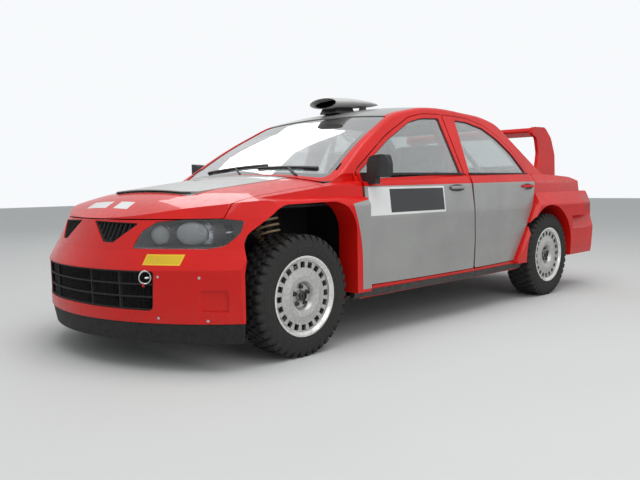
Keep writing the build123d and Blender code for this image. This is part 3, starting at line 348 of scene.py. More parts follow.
def lamp_parts(name):
    """Dark lamp housing with two bright bowls"""
    made, shader, place = material(name)
    tree = place.tree
    bowls = []
    for x, z, radius in ((0.505, 0.652, 0.047), (0.672, 0.652, 0.057)):
        away = (sums(tree, "SUBTRACT", place.wide, x), sums(tree, "SUBTRACT", place.z, z))
        squares = [sums(tree, "MULTIPLY", one, one) for one in away]
        bowls.append(place.under(sums(tree, "SQRT", sums(tree, "ADD", *squares)), radius))
    bright = place.either(*bowls)
    feed(shader, place, Base_Color=place.mix(bright, (0.075, 0.078, 0.082), (0.62, 0.63, 0.65)))
    feed(shader, place, Metallic=place.mix(bright, 0.3, 1.0))
    feed(shader, place, Roughness=place.mix(bright, 0.38, 0.14))
    bumped(shader, place, place.noise(90.0), 0.08, 0.0005)
    return made


def rubber(name):
    """Dull black rubber with some dust in it"""
    made, shader, place = material(name, Roughness=0.78, Specular_IOR_Level=0.35)
    dust = sums(place.tree, "MULTIPLY", place.ramp(place.noise(55.0), 0.3, 0.8), 0.5)
    feed(shader, place, Base_Color=place.mix(dust, (0.018, 0.018, 0.018), (0.05, 0.047, 0.042)))
    bumped(shader, place, place.noise(330.0, 3.0), 0.4, 0.0006)
    return made


def wheel_paint(name, axle_y):
    """Silver wheel with a bright machined lip and dust in its hub"""
    made, shader, place = material(name, Metallic=0.75)
    tree = place.tree
    up = sums(tree, "SUBTRACT", place.z, HUB_Z)
    along = sums(tree, "SUBTRACT", place.y, axle_y)
    squares = [sums(tree, "MULTIPLY", one, one) for one in (up, along)]
    lip = place.over(sums(tree, "SQRT", sums(tree, "ADD", *squares)), 0.184)
    colour = place.mix(lip, (0.55, 0.55, 0.53), (0.82, 0.82, 0.80))
    dust = sums(tree, "MULTIPLY", place.ramp(place.noise(70.0), 0.42, 0.8), 0.45)
    feed(shader, place, Base_Color=place.mix(dust, colour, DUST))
    feed(shader, place, Roughness=place.mix(lip, 0.38, 0.22))
    bumped(shader, place, place.noise(300.0, 2.0), 0.1, 0.0005)
    return made


def woven(name, colour):
    """Seat cloth with threads both ways"""
    made, shader, place = material(name, Roughness=0.9, Sheen_Weight=0.3)
    inputs = {"Vector": place.point, "Scale": 260.0}
    waves = [
        add_node(place.tree, "ShaderNodeTexWave", inputs, bands_direction=way)
        for way in ("Y", "Z")]
    threads = sums(place.tree, "MULTIPLY", *(wave.outputs["Fac"] for wave in waves))
    feed(shader, place, Base_Color=place.mix(threads, tuple(c * 0.6 for c in colour), colour))
    bumped(shader, place, threads, 0.4, 0.0005)
    return made


RED_PAINT = car_paint("red_paint")
DOOR_PAINT = car_paint("door_paint", door_areas)
FENDER_PAINT = car_paint("fender_paint", fender_areas)
SHELL_PAINT = car_paint("shell_paint", shell_areas)
BONNET_PAINT = car_paint("bonnet_paint", bonnet_areas)
BUMPER_PAINT = car_paint("bumper_paint", bumper_areas)
VENT_PAINT = car_paint("vent_paint", vent_areas)
SILVER_PAINT = car_paint(
    "silver_paint", lambda place: ((place.over(place.z, 0.0), SILVER, FLAKE),))
PLASTIC = moulded("black_plastic", BLACK)
GLOSS_BLACK = moulded("gloss_black", BLACK, roughness=0.18, grain=120.0, depth=0.05)
CABIN = moulded("cabin_plastic", (0.03, 0.03, 0.032), roughness=0.6)
UNDER = moulded("underbody_paint", (0.015, 0.015, 0.015), roughness=0.7)
CAGE = moulded("cage_paint", (0.62, 0.62, 0.60), roughness=0.35, grain=90.0, depth=0.05)
RUBBER = rubber("tyre_rubber")
GLASS = window_glass("window_glass", (0.62, 0.68, 0.67), bend=1.7, shine=0.9)
SCREEN = window_glass(
    "windscreen_glass", (0.80, 0.84, 0.84), bend=2.1, shine=1.0, covered=screen_border)
REAR_GLASS = window_glass(
    "rear_window_glass", (0.66, 0.72, 0.71), bend=1.7, shine=0.6, covered=rear_border)
LENS = window_glass("lamp_lens", (0.93, 0.95, 0.95))
REFLECTOR = lamp_parts("lamp_housing")
STEEL = bare_metal("exhaust_steel", (0.42, 0.40, 0.37), roughness=0.35)
CAST = bare_metal("cast_metal", (0.16, 0.16, 0.16), roughness=0.5)
SEAT_SHELL = moulded("seat_shell", (0.02, 0.02, 0.021), roughness=0.4, grain=200.0, depth=0.15)
SEAT_CLOTH = woven("seat_cloth", (0.05, 0.05, 0.055))
MESH_BLACK = moulded("mesh_black", BLACK, roughness=0.45)
DISC = moulded(
    "lamp_disc", (0.24, 0.25, 0.26), roughness=0.14, grain=60.0, depth=0.1, dust=0.0)
SLAT_BLACK = moulded("slat_black", (0.005, 0.005, 0.005), roughness=0.75, dust=0.05)
SEAL = moulded("window_seal", (0.014, 0.014, 0.015), roughness=0.5, dust=0.1)
SPRING = moulded("spring_paint", (0.42, 0.33, 0.20), roughness=0.4, grain=120.0, depth=0.08)
BRIGHT = bare_metal("bright_steel", (0.66, 0.66, 0.67), roughness=0.22)
NUT_METAL = bare_metal("nut_metal", (0.10, 0.10, 0.095), roughness=0.4)
TAIL_LENS = moulded("tail_lens", (0.35, 0.008, 0.008), roughness=0.12, grain=200.0, depth=0.1)

FINISHES = {
    RED_PAINT: ("nose_panel", "rear_bumper", "boot_lid", "rear_wing"),
    BONNET_PAINT: ("bonnet",),
    BUMPER_PAINT: ("front_bumper",),
    FENDER_PAINT: ("front_fenders",),
    SHELL_PAINT: ("roof_frame", "front_frame", "body_sides", "boot_frame"),
    DOOR_PAINT: ("door_front_left", "door_front_right", "door_rear_left", "door_rear_right"),
    SLAT_BLACK: ("grille", "front_splitter"),
    PLASTIC: ("wipers", "mirror_left", "mirror_right", "side_skirts"),
    GLOSS_BLACK: ("roof_vent",),
    CABIN: ("dashboard",),
    UNDER: ("floor_pan", "front_suspension", "rear_suspension", "knuckle_left", "knuckle_right"),
    CAGE: ("roll_cage",),
    SCREEN: ("windscreen",),
    REAR_GLASS: ("rear_window",),
    GLASS: ("glass_front_left", "glass_front_right", "glass_rear_left", "glass_rear_right"),
    LENS: ("headlamps",),
    REFLECTOR: ("lamp_bowls",),
    STEEL: ("exhaust",),
    CAST: ("engine_block",),
    SEAT_SHELL: ("seats",),
    TAIL_LENS: ("tail_lamps",),
}


def paint_over(look, *nodes):
    """Gives the solids their finish"""
    for node in nodes:
        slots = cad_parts[node].data.materials
        slots.clear()
        slots.append(look)


for look, nodes in FINISHES.items():
    paint_over(look, *nodes)
for end, axle_y in AXLES.items():
    paint_over(wheel_paint(f"wheel_paint_{end}", axle_y), *(f"rim_{end}_{side}" for side in SIDES))
    paint_over(RUBBER, *(f"tyre_{end}_{side}" for side in SIDES))

# Modelling helpers; every new piece is shaped in place, in metres, with its object at the origin


def leave_edit():
    """Leaves edit mode, with nothing selected"""
    if bpy.context.mode != "OBJECT":
        bpy.ops.object.mode_set(mode="OBJECT")
    bpy.ops.object.select_all(action="DESELECT")


def opened():
    """Opens the active piece for shaping, with all of it selected"""
    bpy.ops.object.mode_set(mode="EDIT")
    bpy.ops.mesh.select_all(action="SELECT")


def only(made):
    """Makes one piece the selected and active one"""
    leave_edit()
    made.select_set(True)
    bpy.context.view_layer.objects.active = made


def applied(made, kind, **settings):
    """Adds a modifier to a piece and applies it"""
    only(made)
    modifier = made.modifiers.new(kind.lower(), kind)
    for key, value in settings.items():
        setattr(modifier, key, value)
    bpy.ops.object.modifier_apply(modifier=modifier.name)


def start(kind, name, **settings):
    """A primitive at its size and place, opened for shaping with all of it selected"""
    leave_edit()
    getattr(bpy.ops.mesh, f"primitive_{kind}_add")(**settings)
    made = bpy.context.object
    made.name = made.data.name = name
    bpy.ops.object.transform_apply(location=True, rotation=True, scale=True)
    bpy.ops.object.mode_set(mode="EDIT")
    bpy.ops.mesh.select_mode(type="VERT")
    bpy.ops.mesh.select_all(action="SELECT")
    return made


def pick(test, kind="FACE"):
    """Selects the faces or points whose middle and direction pass a test"""
    bpy.ops.mesh.select_mode(type=kind)
    bpy.ops.mesh.select_all(action="DESELECT")
    shape = bmesh.from_edit_mesh(bpy.context.object.data)
    for part in shape.faces if kind == "FACE" else shape.verts:
        middle = part.calc_center_median() if kind == "FACE" else part.co
        if test(middle, part.normal):
            part.select_set(True)
    bmesh.update_edit_mesh(bpy.context.object.data)


def swell(centre, x=1.0, y=1.0, z=1.0):
    """Scales what is selected about a place"""
    bpy.ops.transform.resize(value=(x, y, z), center_override=centre)


def turn(angle, axis, centre):
    """Turns what is selected by degrees; with no window Blender turns the other way"""
    bpy.ops.transform.rotate(value=radians(-angle), orient_axis=axis, center_override=centre)


def pull(x=0.0, y=0.0, z=0.0):
    """Extrudes the selected faces as one region"""
    bpy.ops.mesh.extrude_region_move(TRANSFORM_OT_translate={"value": (x, y, z)})


def trace(name, points, closed=False):
    """A chain of edges drawn point by point"""
    made = start("plane", name, size=0.01, location=points[0])
    bpy.ops.mesh.merge(type="CENTER")
    for before, after in zip(points, points[1:]):
        step = Vector(after) - Vector(before)
        bpy.ops.mesh.extrude_vertices_move(TRANSFORM_OT_translate={"value": step})
    if closed:
        ends = (Vector(points[0]), Vector(points[-1]))
        pick(lambda place, way: min((place - end).length for end in ends) < 1e-6, "VERT")
        bpy.ops.mesh.edge_face_add()
    bpy.ops.mesh.select_all(action="SELECT")
    return made


def lathe(name, rows, hub, steps, closed=True):
    """Ring about an axle along X from rows of (out, radius)"""
    places = [(hub[0] + out, hub[1], hub[2] + radius) for out, radius in rows]
    made = trace(name, places, closed)
    bpy.ops.mesh.spin(steps=steps, angle=2 * pi, center=hub, axis=(1.0, 0.0, 0.0))
    bpy.ops.mesh.select_all(action="SELECT")
    bpy.ops.mesh.remove_doubles(threshold=1e-5)
    bpy.ops.mesh.normals_make_consistent(inside=False)
    return made


def repeat(count, hub):
    """Copies what is selected round an axle along X until it stands count times"""
    bpy.ops.mesh.spin(
        steps=count - 1, dupli=True, angle=2 * pi * (count - 1) / count, center=hub,
        axis=(1.0, 0.0, 0.0))


def soften(made, width, segments=1):
    """Bevels the sharp edges of a piece"""
    applied(made, "BEVEL", width=width, segments=segments, limit_method="ANGLE",
            angle_limit=radians(40))


def cut_out(name, outline, across):
    """Flat outline drawn point by point, filled and pulled to a thickness"""
    made = trace(name, outline, closed=True)
    bpy.ops.mesh.edge_face_add()
    pull(*across)
    bpy.ops.mesh.select_all(action="SELECT")
    bpy.ops.mesh.normals_make_consistent(inside=False)
    return made


def rings(sections):
    """Carries the selected ring of edges along rows of (y, half width, middle z, half height)"""
    for (y0, w0, z0, h0), (y1, w1, z1, h1) in zip(sections, sections[1:]):
        step = (0.0, y1 - y0, z1 - z0)
        bpy.ops.mesh.extrude_edges_move(TRANSFORM_OT_translate={"value": step})
        swell((0.0, y1, z1), x=w1 / w0, z=h1 / h0)


def finish(made, look, body, *nodes, smooth=35):
    """Closes a piece, gives it its finish, and hangs it on its body"""
    only(made)
    if smooth:
        bpy.ops.object.shade_smooth_by_angle(angle=radians(smooth))
    made.data.materials.clear()
    made.data.materials.append(look)
    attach(made, body)
    if nodes:
        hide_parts(*nodes)


def join(name, *made):
    """Several pieces as one"""
    leave_edit()
    for one in made:
        one.select_set(True)
    bpy.context.view_layer.objects.active = made[0]
    bpy.ops.object.join()
    made[0].name = made[0].data.name = name
    return made[0]


def copied(made, name, change):
    """Another of the same piece, with its own mesh, moved by a matrix"""
    other = made.copy()
    other.data = made.data.copy()
    other.name = other.data.name = name
    other.parent = None
    other.matrix_world = Matrix.Identity(4)
    bpy.context.scene.collection.objects.link(other)
    other.data.transform(change)
    if change.determinant() < 0:
        other.data.flip_normals()
    return other


MIRROR = Matrix.Diagonal((-1.0, 1.0, 1.0, 1.0))


def finish_pair(made, look, body):
    """Finishes a left piece, and its mirror image on the right body"""
    other = copied(made, made.name.replace("left", "right"), MIRROR)
    finish(made, look, body)
    finish(other, look, body.replace("left", "right"))


# Wheels

# Tyre's section as (out from its middle, radius), with ribs on the outer wall
TYRE_ROWS = [
    (-0.080, 0.1935), (-0.090, 0.1935), (-0.0955, 0.199), (-0.098, 0.207), (-0.1015, 0.226),
    (-0.1025, 0.242), (-0.1005, 0.262), (-0.0965, 0.286), (-0.087, 0.3005), (-0.076, 0.3050),
    (0.0, 0.3065), (0.076, 0.3050), (0.087, 0.3005), (0.0965, 0.286), (0.0985, 0.274),
    (0.0995, 0.2735), (0.1005, 0.262), (0.1013, 0.2545), (0.1024, 0.2535), (0.1024, 0.2505),
    (0.1014, 0.2495), (0.1014, 0.2325), (0.1023, 0.2315), (0.1020, 0.2285), (0.1006, 0.2275),
    (0.0985, 0.2145), (0.0996, 0.2135), (0.0990, 0.2100), (0.0972, 0.2090), (0.0955, 0.199),
    (0.0945, 0.1945), (0.090, 0.1935), (0.080, 0.1935), (0.088, 0.225), (0.084, 0.270),
    (0.066, 0.293), (-0.066, 0.293), (-0.084, 0.270), (-0.088, 0.225)]
TREAD_COUNT = 40


def shoulder_block(name, hub, side):
    """One block that wraps over the shoulder"""
    made = start(
        "cube", name, size=1.0, location=hub + Vector((0.067 * side, 0.0, 0.3080)),
        scale=(0.036, 0.034, 0.014))
    pick(lambda place, way: way.x * side > 0.9)
    pull(0.010 * side, 0.0, -0.0115)
    swell(hub + Vector((0.085 * side, 0.0, 0.296)), y=0.9)
    pull(0.0035 * side, 0.0, -0.016)
    swell(hub + Vector((0.098 * side, 0.0, 0.280)), y=0.72, z=0.75)
    pick(lambda place, way: way.x * side < -0.9)
    swell(hub + Vector((0.05 * side, 0.0, 0.308)), y=0.72)
    soften(made, 0.0014)
    opened()
    return made


def crown_block(name, hub, side):
    """One slanted block near the middle of the tread"""
    centre = hub + Vector((0.0235 * side, 0.0, 0.3095))
    made = start("cube", name, size=1.0, location=centre, scale=(0.036, 0.030, 0.0106))
    pick(lambda place, way: way.z > 0.9)
    swell(centre, x=0.94, y=0.92)
    bpy.ops.mesh.select_all(action="SELECT")
    turn(14.0 * side, "Z", centre)
    soften(made, 0.0013)
    opened()
    return made


def tyre():
    """Tyre of the front left wheel, its rows of blocks half a pitch apart"""
    hub = Vector((WHEEL_X, AXLES["front"], HUB_Z))
    pieces = [lathe("tread_front_left", TYRE_ROWS, hub, 72)]
    for side in SIDES.values():
        for make, between in ((shoulder_block, side > 0), (crown_block, side < 0)):
            block = make("block", hub, side)
            if between:
                turn(180.0 / TREAD_COUNT, "X", hub)
            repeat(TREAD_COUNT, hub)
            pieces.append(block)
    return join("tread_front_left", *pieces)


def nuts():
    """Five dark wheel nuts and the hub cap in the dished centre"""
    hub = Vector((WHEEL_X, AXLES["front"], HUB_Z))
    nut = start(
        "cylinder", "nut", vertices=6, radius=0.0105, depth=0.017,
        location=hub + Vector((0.0665, 0.0, 0.047)), rotation=(0.0, pi / 2, 0.0))
    pick(lambda place, way: way.x > 0.9)
    bpy.ops.mesh.inset(thickness=0.0042)
    pull(-0.007)
    pick(lambda place, way: way.x < -0.9)
    swell(hub + Vector((0.0, 0.0, 0.047)), y=1.35, z=1.35)
    bpy.ops.mesh.select_all(action="SELECT")
    repeat(5, hub)
    soften(nut, 0.0008)
    cap = lathe("cap", [
        (0.058, 0.0), (0.058, 0.031), (0.066, 0.031), (0.067, 0.027), (0.083, 0.0255),
        (0.0855, 0.0235), (0.0855, 0.019), (0.079, 0.018), (0.079, 0.008), (0.083, 0.007),
        (0.083, 0.0)], hub, 40, closed=False)
    return join("nuts_front_left", nut, cap)


def fit_wheels():
    """The front left wheel's pieces, and their copies on the other three"""
    for make, look, label in ((tyre, RUBBER, "tread"), (nuts, NUT_METAL, "nuts")):
        first = make()
        for end, axle_y in AXLES.items():
            back = Matrix.Translation((0.0, axle_y - AXLES["front"], 0.0))
            for side, way in SIDES.items():
                name = f"{label}_{end}_{side}"
                made = first
                if name != first.name:
                    made = copied(first, name, back if way > 0 else MIRROR @ back)
                replaced = (f"tyre_{end}_{side}",) if label == "tread" else ()
                finish(made, look, f"wheel_{end}_{side}", *replaced)


fit_wheels()

# Front


def on_nose(angle, reach, z):
    """Place on a round about the nose's centre, at an angle in degrees from straight ahead"""
    way = Vector((sin(radians(angle)), -cos(radians(angle)), 0.0))
    return Vector((0.0, NOSE_CENTRE_Y, z)) + way * reach


def mouth_mesh():
    """Fine black mesh behind the bumper mouth, drawn as a curved grid and made wire"""
    centre = (0.0, NOSE_CENTRE_Y, 0.0)
    low_z, pitch, rows, columns, arc = 0.293, 0.0118, 18, 98, 57.6
    made = trace("mouth_mesh", [on_nose(0.0, 1.168, low_z + pitch * row) for row in range(rows)])
    bpy.ops.mesh.spin(steps=columns, angle=radians(arc), center=centre, axis=(0.0, 0.0, 1.0))
    bpy.ops.mesh.select_all(action="SELECT")
    turn(arc / 2, "Z", centre)
    applied(made, "WIREFRAME", thickness=0.0021, use_even_offset=False)
    finish(made, MESH_BLACK, "body", smooth=0)


def mouth_duct():
    """Black duct behind the mesh, with a finned cooler at its end"""
    made = start(
        "cube", "mouth_duct", size=1.0, location=(0.0, -1.905, 0.392), scale=(1.10, 0.15, 0.225))
    pick(lambda place, way: way.y < -0.9)
    swell((0.0, -1.98, 0.385), x=1.02, z=1.32)
    bpy.ops.mesh.delete(type="ONLY_FACE")
    applied(made, "SOLIDIFY", thickness=0.003)
    fins, fin_pitch = 67, 0.016
    first_x = -fin_pitch * (fins - 1) / 2
    fin = start(
        "cube", "fin", size=1.0, location=(first_x, -1.840, 0.392), scale=(0.004, 0.012, 0.205))
    soften(fin, 0.0008)
    opened()
    for _ in range(fins - 1):
        bpy.ops.mesh.duplicate_move(TRANSFORM_OT_translate={"value": (fin_pitch, 0.0, 0.0)})
    finish(join("mouth_duct", made, fin), MESH_BLACK, "body")


def tow_ring():
    """Towing eye inside the corner of the mouth, with a red tip"""
    x, y, z = 0.523, -2.030, 0.455
    eye = start(
        "torus", "tow_ring", major_radius=0.027, minor_radius=0.0036, major_segments=36,
        minor_segments=10, location=(x, y, z), rotation=(pi / 2, 0.0, radians(62)))
    pick(lambda place, way: place.z > z)
    swell((x, y, z), z=1.25)
    shank = start(
        "cylinder", "shank", vertices=20, radius=0.007, depth=0.10, location=(x, y + 0.055, z),
        rotation=(pi / 2, 0.0, 0.0))
    pick(lambda place, way: way.y < -0.9)
    pull(0.0, -0.006)
    swell((x, y + 0.002, z), x=0.6, z=0.6)
    finish(join("tow_ring", eye, shank), BRIGHT, "body")
    tip = start(
        "cone", "tow_ring_tip", vertices=3, radius1=0.017, radius2=0.004, depth=0.005,
        location=(x + 0.001, y - 0.0135, z - 0.033), rotation=(pi / 2, 0.0, 0.0))
    soften(tip, 0.0008)
    finish(tip, RED_PAINT, "body")


SCREW_REACH = 1.1905
SCREW_PLACES = ((0.583, 0.462), (0.752, 0.459), (0.581, 0.267), (0.780, 0.257))  # x and z


def screws():
    """Small bright screws at the corners of the bumper's side plates"""
    first = start(
        "cylinder", "screw", vertices=16, radius=0.0065, depth=0.003, rotation=(pi / 2, 0.0, 0.0))
    pick(lambda place, way: way.y < -0.9)
    bpy.ops.mesh.inset(thickness=0.002)
    pull(0.0, 0.0012)
    leave_edit()
    for number, (x, z) in enumerate(SCREW_PLACES):
        angle = degrees(asin(x / SCREW_REACH))
        place = Matrix.Translation(on_nose(angle, SCREW_REACH, z))
        facing = Matrix.Rotation(radians(angle), 4, "Z")
        finish_pair(copied(first, f"bumper_screw_{number}_left", place @ facing), BRIGHT, "body")
    bpy.data.objects.remove(first)


# Angle across the nose, width for its height, radius and height of each lamp
LAMP_DISCS = ((26.3, 1.1, 0.047, 0.648), (35.5, 1.42, 0.057, 0.655))
LAMP_POINTS = ((37.2, 0.686), (38.2, 0.671), (38.5, 0.655))  # angle and height


def lamp_discs():
    """Domed glass of the two lamps behind each lens"""
    for number, (angle, wide, radius, z) in enumerate(LAMP_DISCS):
        made = start(
            "uv_sphere", f"lamp_disc_{number}_left", segments=40, ring_count=20, radius=radius)
        swell((0.0, 0.0, 0.0), x=wide, z=0.34)
        pick(lambda at, facing: facing.z < -0.6)
        swell((0.0, 0.0, -0.1), z=0.9)
        leave_edit()
        upright = Matrix.Rotation(pi / 2, 4, "X")
        made.data.transform(
            Matrix.Translation(on_nose(angle, 1.052, z))
            @ Matrix.Rotation(radians(angle), 4, "Z") @ upright)
        finish_pair(made, DISC, "body")


def lamp_points():
    """Three bright points beside the outer lamp"""
    points = []
    for angle, z in LAMP_POINTS:
        place = on_nose(angle, 1.073, z)
        points.append(start(
            "uv_sphere", "lamp_point", segments=14, ring_count=8, radius=0.0042, location=place))
        swell(place, z=0.8)
    finish_pair(join("lamp_points_left", *points), BRIGHT, "body")


mouth_mesh()
mouth_duct()
lamp_discs()
lamp_points()
tow_ring()
screws()

# Roof

# Sections of the pod and of its throat as (y, half width, middle z, half height)
VENT_BODY = [
    (-0.304, 0.121, 1.4370, 0.0300), (-0.2985, 0.1275, 1.4372, 0.0345),
    (-0.285, 0.1295, 1.4385, 0.0365), (-0.220, 0.1310, 1.4430, 0.0385),
    (-0.120, 0.1290, 1.4490, 0.0370), (0.0, 0.1190, 1.4540, 0.0320),
    (0.100, 0.1030, 1.4565, 0.0245), (0.170, 0.0860, 1.4570, 0.0165),
    (0.205, 0.0700, 1.4560, 0.0095), (0.2165, 0.0600, 1.4550, 0.0045)]
VENT_THROAT = [
    (-0.304, 0.121, 1.4370, 0.0300), (-0.303, 0.1170, 1.4370, 0.0268),
    (-0.296, 0.1145, 1.4372, 0.0250), (-0.230, 0.1100, 1.4390, 0.0230),
    (-0.150, 0.0900, 1.4420, 0.0160)]


def roof_vent():
    """Flat pod with an oval mouth, on a narrow foot"""
    y, wide, z, high = VENT_BODY[0]
    made = start(
        "circle", "roof_vent_pod", vertices=48, radius=1.0, location=(0.0, y, z),
        rotation=(pi / 2, 0.0, 0.0))
    swell((0.0, y, z), x=wide, z=high)
    rings(VENT_BODY)
    bpy.ops.mesh.edge_face_add()
    pick(lambda place, way: abs(place.y - y) < 1e-4, "VERT")
    rings(VENT_THROAT)
    bpy.ops.mesh.edge_face_add()
    bpy.ops.mesh.select_all(action="SELECT")
    bpy.ops.mesh.normals_make_consistent(inside=False)
    foot = start(
        "cube", "foot", size=1.0, location=(0.0, -0.15, 1.3975), scale=(0.17, 0.20, 0.055))
    pick(lambda place, way: way.z > 0.9)
    swell((0.0, -0.13, 1.42), x=0.7, y=0.85)
    soften(foot, 0.006, 2)
    carriers = [foot]
    for side in SIDES.values():
        leg_x, leg_y = 0.064 * side, 0.045
        leg = start(
            "cube", "leg", size=1.0, location=(leg_x, leg_y, 1.408), scale=(0.011, 0.085, 0.060))
        pick(lambda place, way: way.z > 0.9)
        swell((leg_x, leg_y, 1.44), y=0.7)
        soften(leg, 0.003, 2)
        carriers.append(leg)
    finish(join("roof_vent_foot", *carriers), GLOSS_BLACK, "body")
    finish(made, VENT_PAINT, "body", "roof_vent", smooth=50)


roof_vent()

# Sides


def skin_x(y, z):
    """Half width of the door skin above its crease"""
    (low_z, low_x), (high_z, high_x) = (0.700, 0.866), (0.875, 0.845)
    part = (z - low_z) / (high_z - low_z)
    return low_x + (high_x - low_x) * part - y * y / FLANK_CURVE


def door_handle(name, y, z):
    """Dished black plate, and the pull across it"""
    x = skin_x(y, z)
    skin_lean, skin_turn = -6.8, degrees(-2 * y / FLANK_CURVE)
    plate = start(
        "cylinder", f"handle_plate_{name}", vertices=40, radius=0.5, depth=0.006,
        location=(x, y, z), rotation=(0.0, pi / 2, 0.0))
    swell((x, y, z), y=0.168, z=0.046)
    turn(skin_lean, "Y", (x, y, z))
    pick(lambda place, way: way.x > 0.9)
    bpy.ops.mesh.inset(thickness=0.003)
    pull(0.0008)
    bpy.ops.mesh.inset(thickness=0.004)
    pull(-0.0026)
    bpy.ops.mesh.select_all(action="SELECT")
    turn(skin_turn, "Z", (x, y, z))
    grip = start(
        "cube", f"handle_{name}", size=1.0, location=(x + 0.013, y, z + 0.004),
        scale=(0.009, 0.150, 0.020))
    half_free = 0.050
    for away in (-half_free, half_free):
        bpy.ops.mesh.select_all(action="SELECT")
        bpy.ops.mesh.bisect(plane_co=(x, y + away, z), plane_no=(0.0, 1.0, 0.0))
    pick(lambda place, way: way.x < -0.9 and abs(place.y - y) > half_free)
    pull(-0.010)
    bpy.ops.mesh.select_all(action="SELECT")
    turn(skin_turn, "Z", (x, y, z))
    soften(grip, 0.003, 2)
    return plate, grip


def fit_handles():
    """A handle on each door, in the paint around it"""
    for end, y, z, look in (
            ("front", 0.070, 0.846, SILVER_PAINT), ("rear", 1.020, 0.842, RED_PAINT)):
        plate, grip = door_handle(f"{end}_left", y, z)
        finish_pair(plate, GLOSS_BLACK, f"door_{end}_left")
        finish_pair(grip, look, f"door_{end}_left")


def sweep(name, path, half_x, half_z):
    """Bar of one section carried along a row of places"""
    made = start("plane", name, size=1.0, location=path[0], rotation=(pi / 2, 0.0, 0.0))
    swell(path[0], x=2 * half_x, z=2 * half_z)
    for before, after in zip(path, path[1:]):
        pull(*(Vector(after) - Vector(before)))
    bpy.ops.mesh.select_all(action="SELECT")
    bpy.ops.mesh.normals_make_consistent(inside=False)
    return made


def belt_mouldings():
    """Black strips at the foot of the side windows"""
    steps = 14
    for end, low, high in (("front", -0.772, 0.236), ("rear", 0.318, 1.158)):
        places = [low + (high - low) * step / steps for step in range(steps + 1)]
        path = [(0.7815 - y * y / FLANK_CURVE, y, 0.9385) for y in places]
        made = sweep(f"belt_{end}_left", path, 0.0065, 0.0075)
        soften(made, 0.002, 2)
        finish_pair(made, SEAL, f"door_{end}_left")


def window_seals():
    """Rubber seal round each door window, drawn from the outer face of its pane"""
    for end in AXLES:
        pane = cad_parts[f"glass_{end}_left"]
        made = copied(pane, f"seal_{end}_left", pane.matrix_world)
        only(made)
        opened()
        bpy.ops.mesh.remove_doubles(threshold=1e-5)
        pick(lambda place, way: way.x < 0.5)
        bpy.ops.mesh.delete(type="FACE")
        bpy.ops.mesh.select_all(action="SELECT")
        bpy.ops.mesh.select_mode(type="EDGE")
        bpy.ops.mesh.region_to_loop()
        bpy.ops.mesh.select_all(action="INVERT")
        bpy.ops.mesh.delete(type="EDGE")
        bpy.ops.object.mode_set(mode="OBJECT")
        bpy.ops.object.convert(target="CURVE")
        made.data.bevel_depth = 0.0055
        made.data.bevel_resolution = 1
        bpy.ops.object.convert(target="MESH")
        finish_pair(made, SEAL, f"door_{end}_left")


def springs():
    """Coil spring round each front strut, turning with its wheel"""
    ball = Vector((0.690, AXLES["front"], 0.205))
    strut_top = Vector((0.560, AXLES["front"], 0.763))
    way = (strut_top - ball).normalized()
    up_strut = 0.37
    turns, rise = 5, 0.165
    made = start(
        "circle", "spring_left", vertices=10, radius=0.0065, location=(0.060, 0.0, 0.0),
        rotation=(pi / 2, 0.0, 0.0))
    applied(made, "SCREW", axis="Z", angle=2 * pi * turns, screw_offset=rise, steps=150,
            render_steps=150)
    bpy.ops.object.mode_set(mode="EDIT")
    bpy.ops.mesh.select_all(action="DESELECT")
    bpy.ops.mesh.select_non_manifold()
    bpy.ops.mesh.edge_face_add()
    bpy.ops.mesh.select_all(action="SELECT")
    bpy.ops.mesh.normals_make_consistent(inside=False)
    leave_edit()
    leaning = Vector((0, 0, 1)).rotation_difference(way).to_matrix().to_4x4()
    made.data.transform(Matrix.Translation(ball + way * up_strut) @ leaning)
    finish_pair(made, SPRING, "knuckle_left")


fit_handles()
belt_mouldings()
window_seals()
springs()

# Seats

BASE_OUTLINE = [
    (-0.150, 0.493), (-0.158, 0.512), (-0.140, 0.526), (0.06, 0.519), (0.170, 0.520),
    (0.188, 0.500), (0.190, 0.487)]  # y and z
BASE_SEAMS = (-0.10, 0.0, 0.10)  # distances across the base from its middle
# Low end, high end, half width and seams of the pads up the back
BACK_PADS = {"back": (0.070, 0.500, 0.166, (0.17, 0.27, 0.37)), "head": (0.515, 0.640, 0.150, ())}


def on_back(along, out):
    """Place on the seat's back: y and z from a distance up it and off it"""
    return (
        SEAT_FOOT_Y + LEAN_SINE * along - LEAN_COSINE * out,
        SEAT_FOOT_Z + LEAN_COSINE * along + LEAN_SINE * out)


def puffed(made, most):
    """Blows a pad up as cloth; no point moves further than the cap"""
    applied(made, "REMESH", mode="VOXEL", voxel_size=0.008)
    before = [point.co.copy() for point in made.data.vertices]
    frames = 20
    cloth = made.modifiers.new("cloth", "CLOTH")
    cloth.settings.use_pressure = True
    cloth.settings.uniform_pressure_force = 4.0
    cloth.settings.effector_weights.gravity = 0.0
    cloth.point_cache.frame_start = 1
    cloth.point_cache.frame_end = frames
    for number in range(1, frames + 1):
        bpy.context.scene.frame_set(number)
    bpy.ops.object.modifier_apply(modifier="cloth")
    bpy.context.scene.frame_set(1)
    for point, old in zip(made.data.vertices, before):
        moved = point.co - old
        if moved.length > most:
            point.co = old + moved * (most / moved.length)


def channelled(made, seams, distance_to):
    """Presses sewn channels into a pad, deepest on each seam"""
    depth = width = 0.006
    for point in made.data.vertices:
        away = min(abs(distance_to(point.co) - seam) for seam in seams)
        if away < 3 * width:
            point.co = point.co - point.normal * (depth * exp(-((away / width) ** 2)))


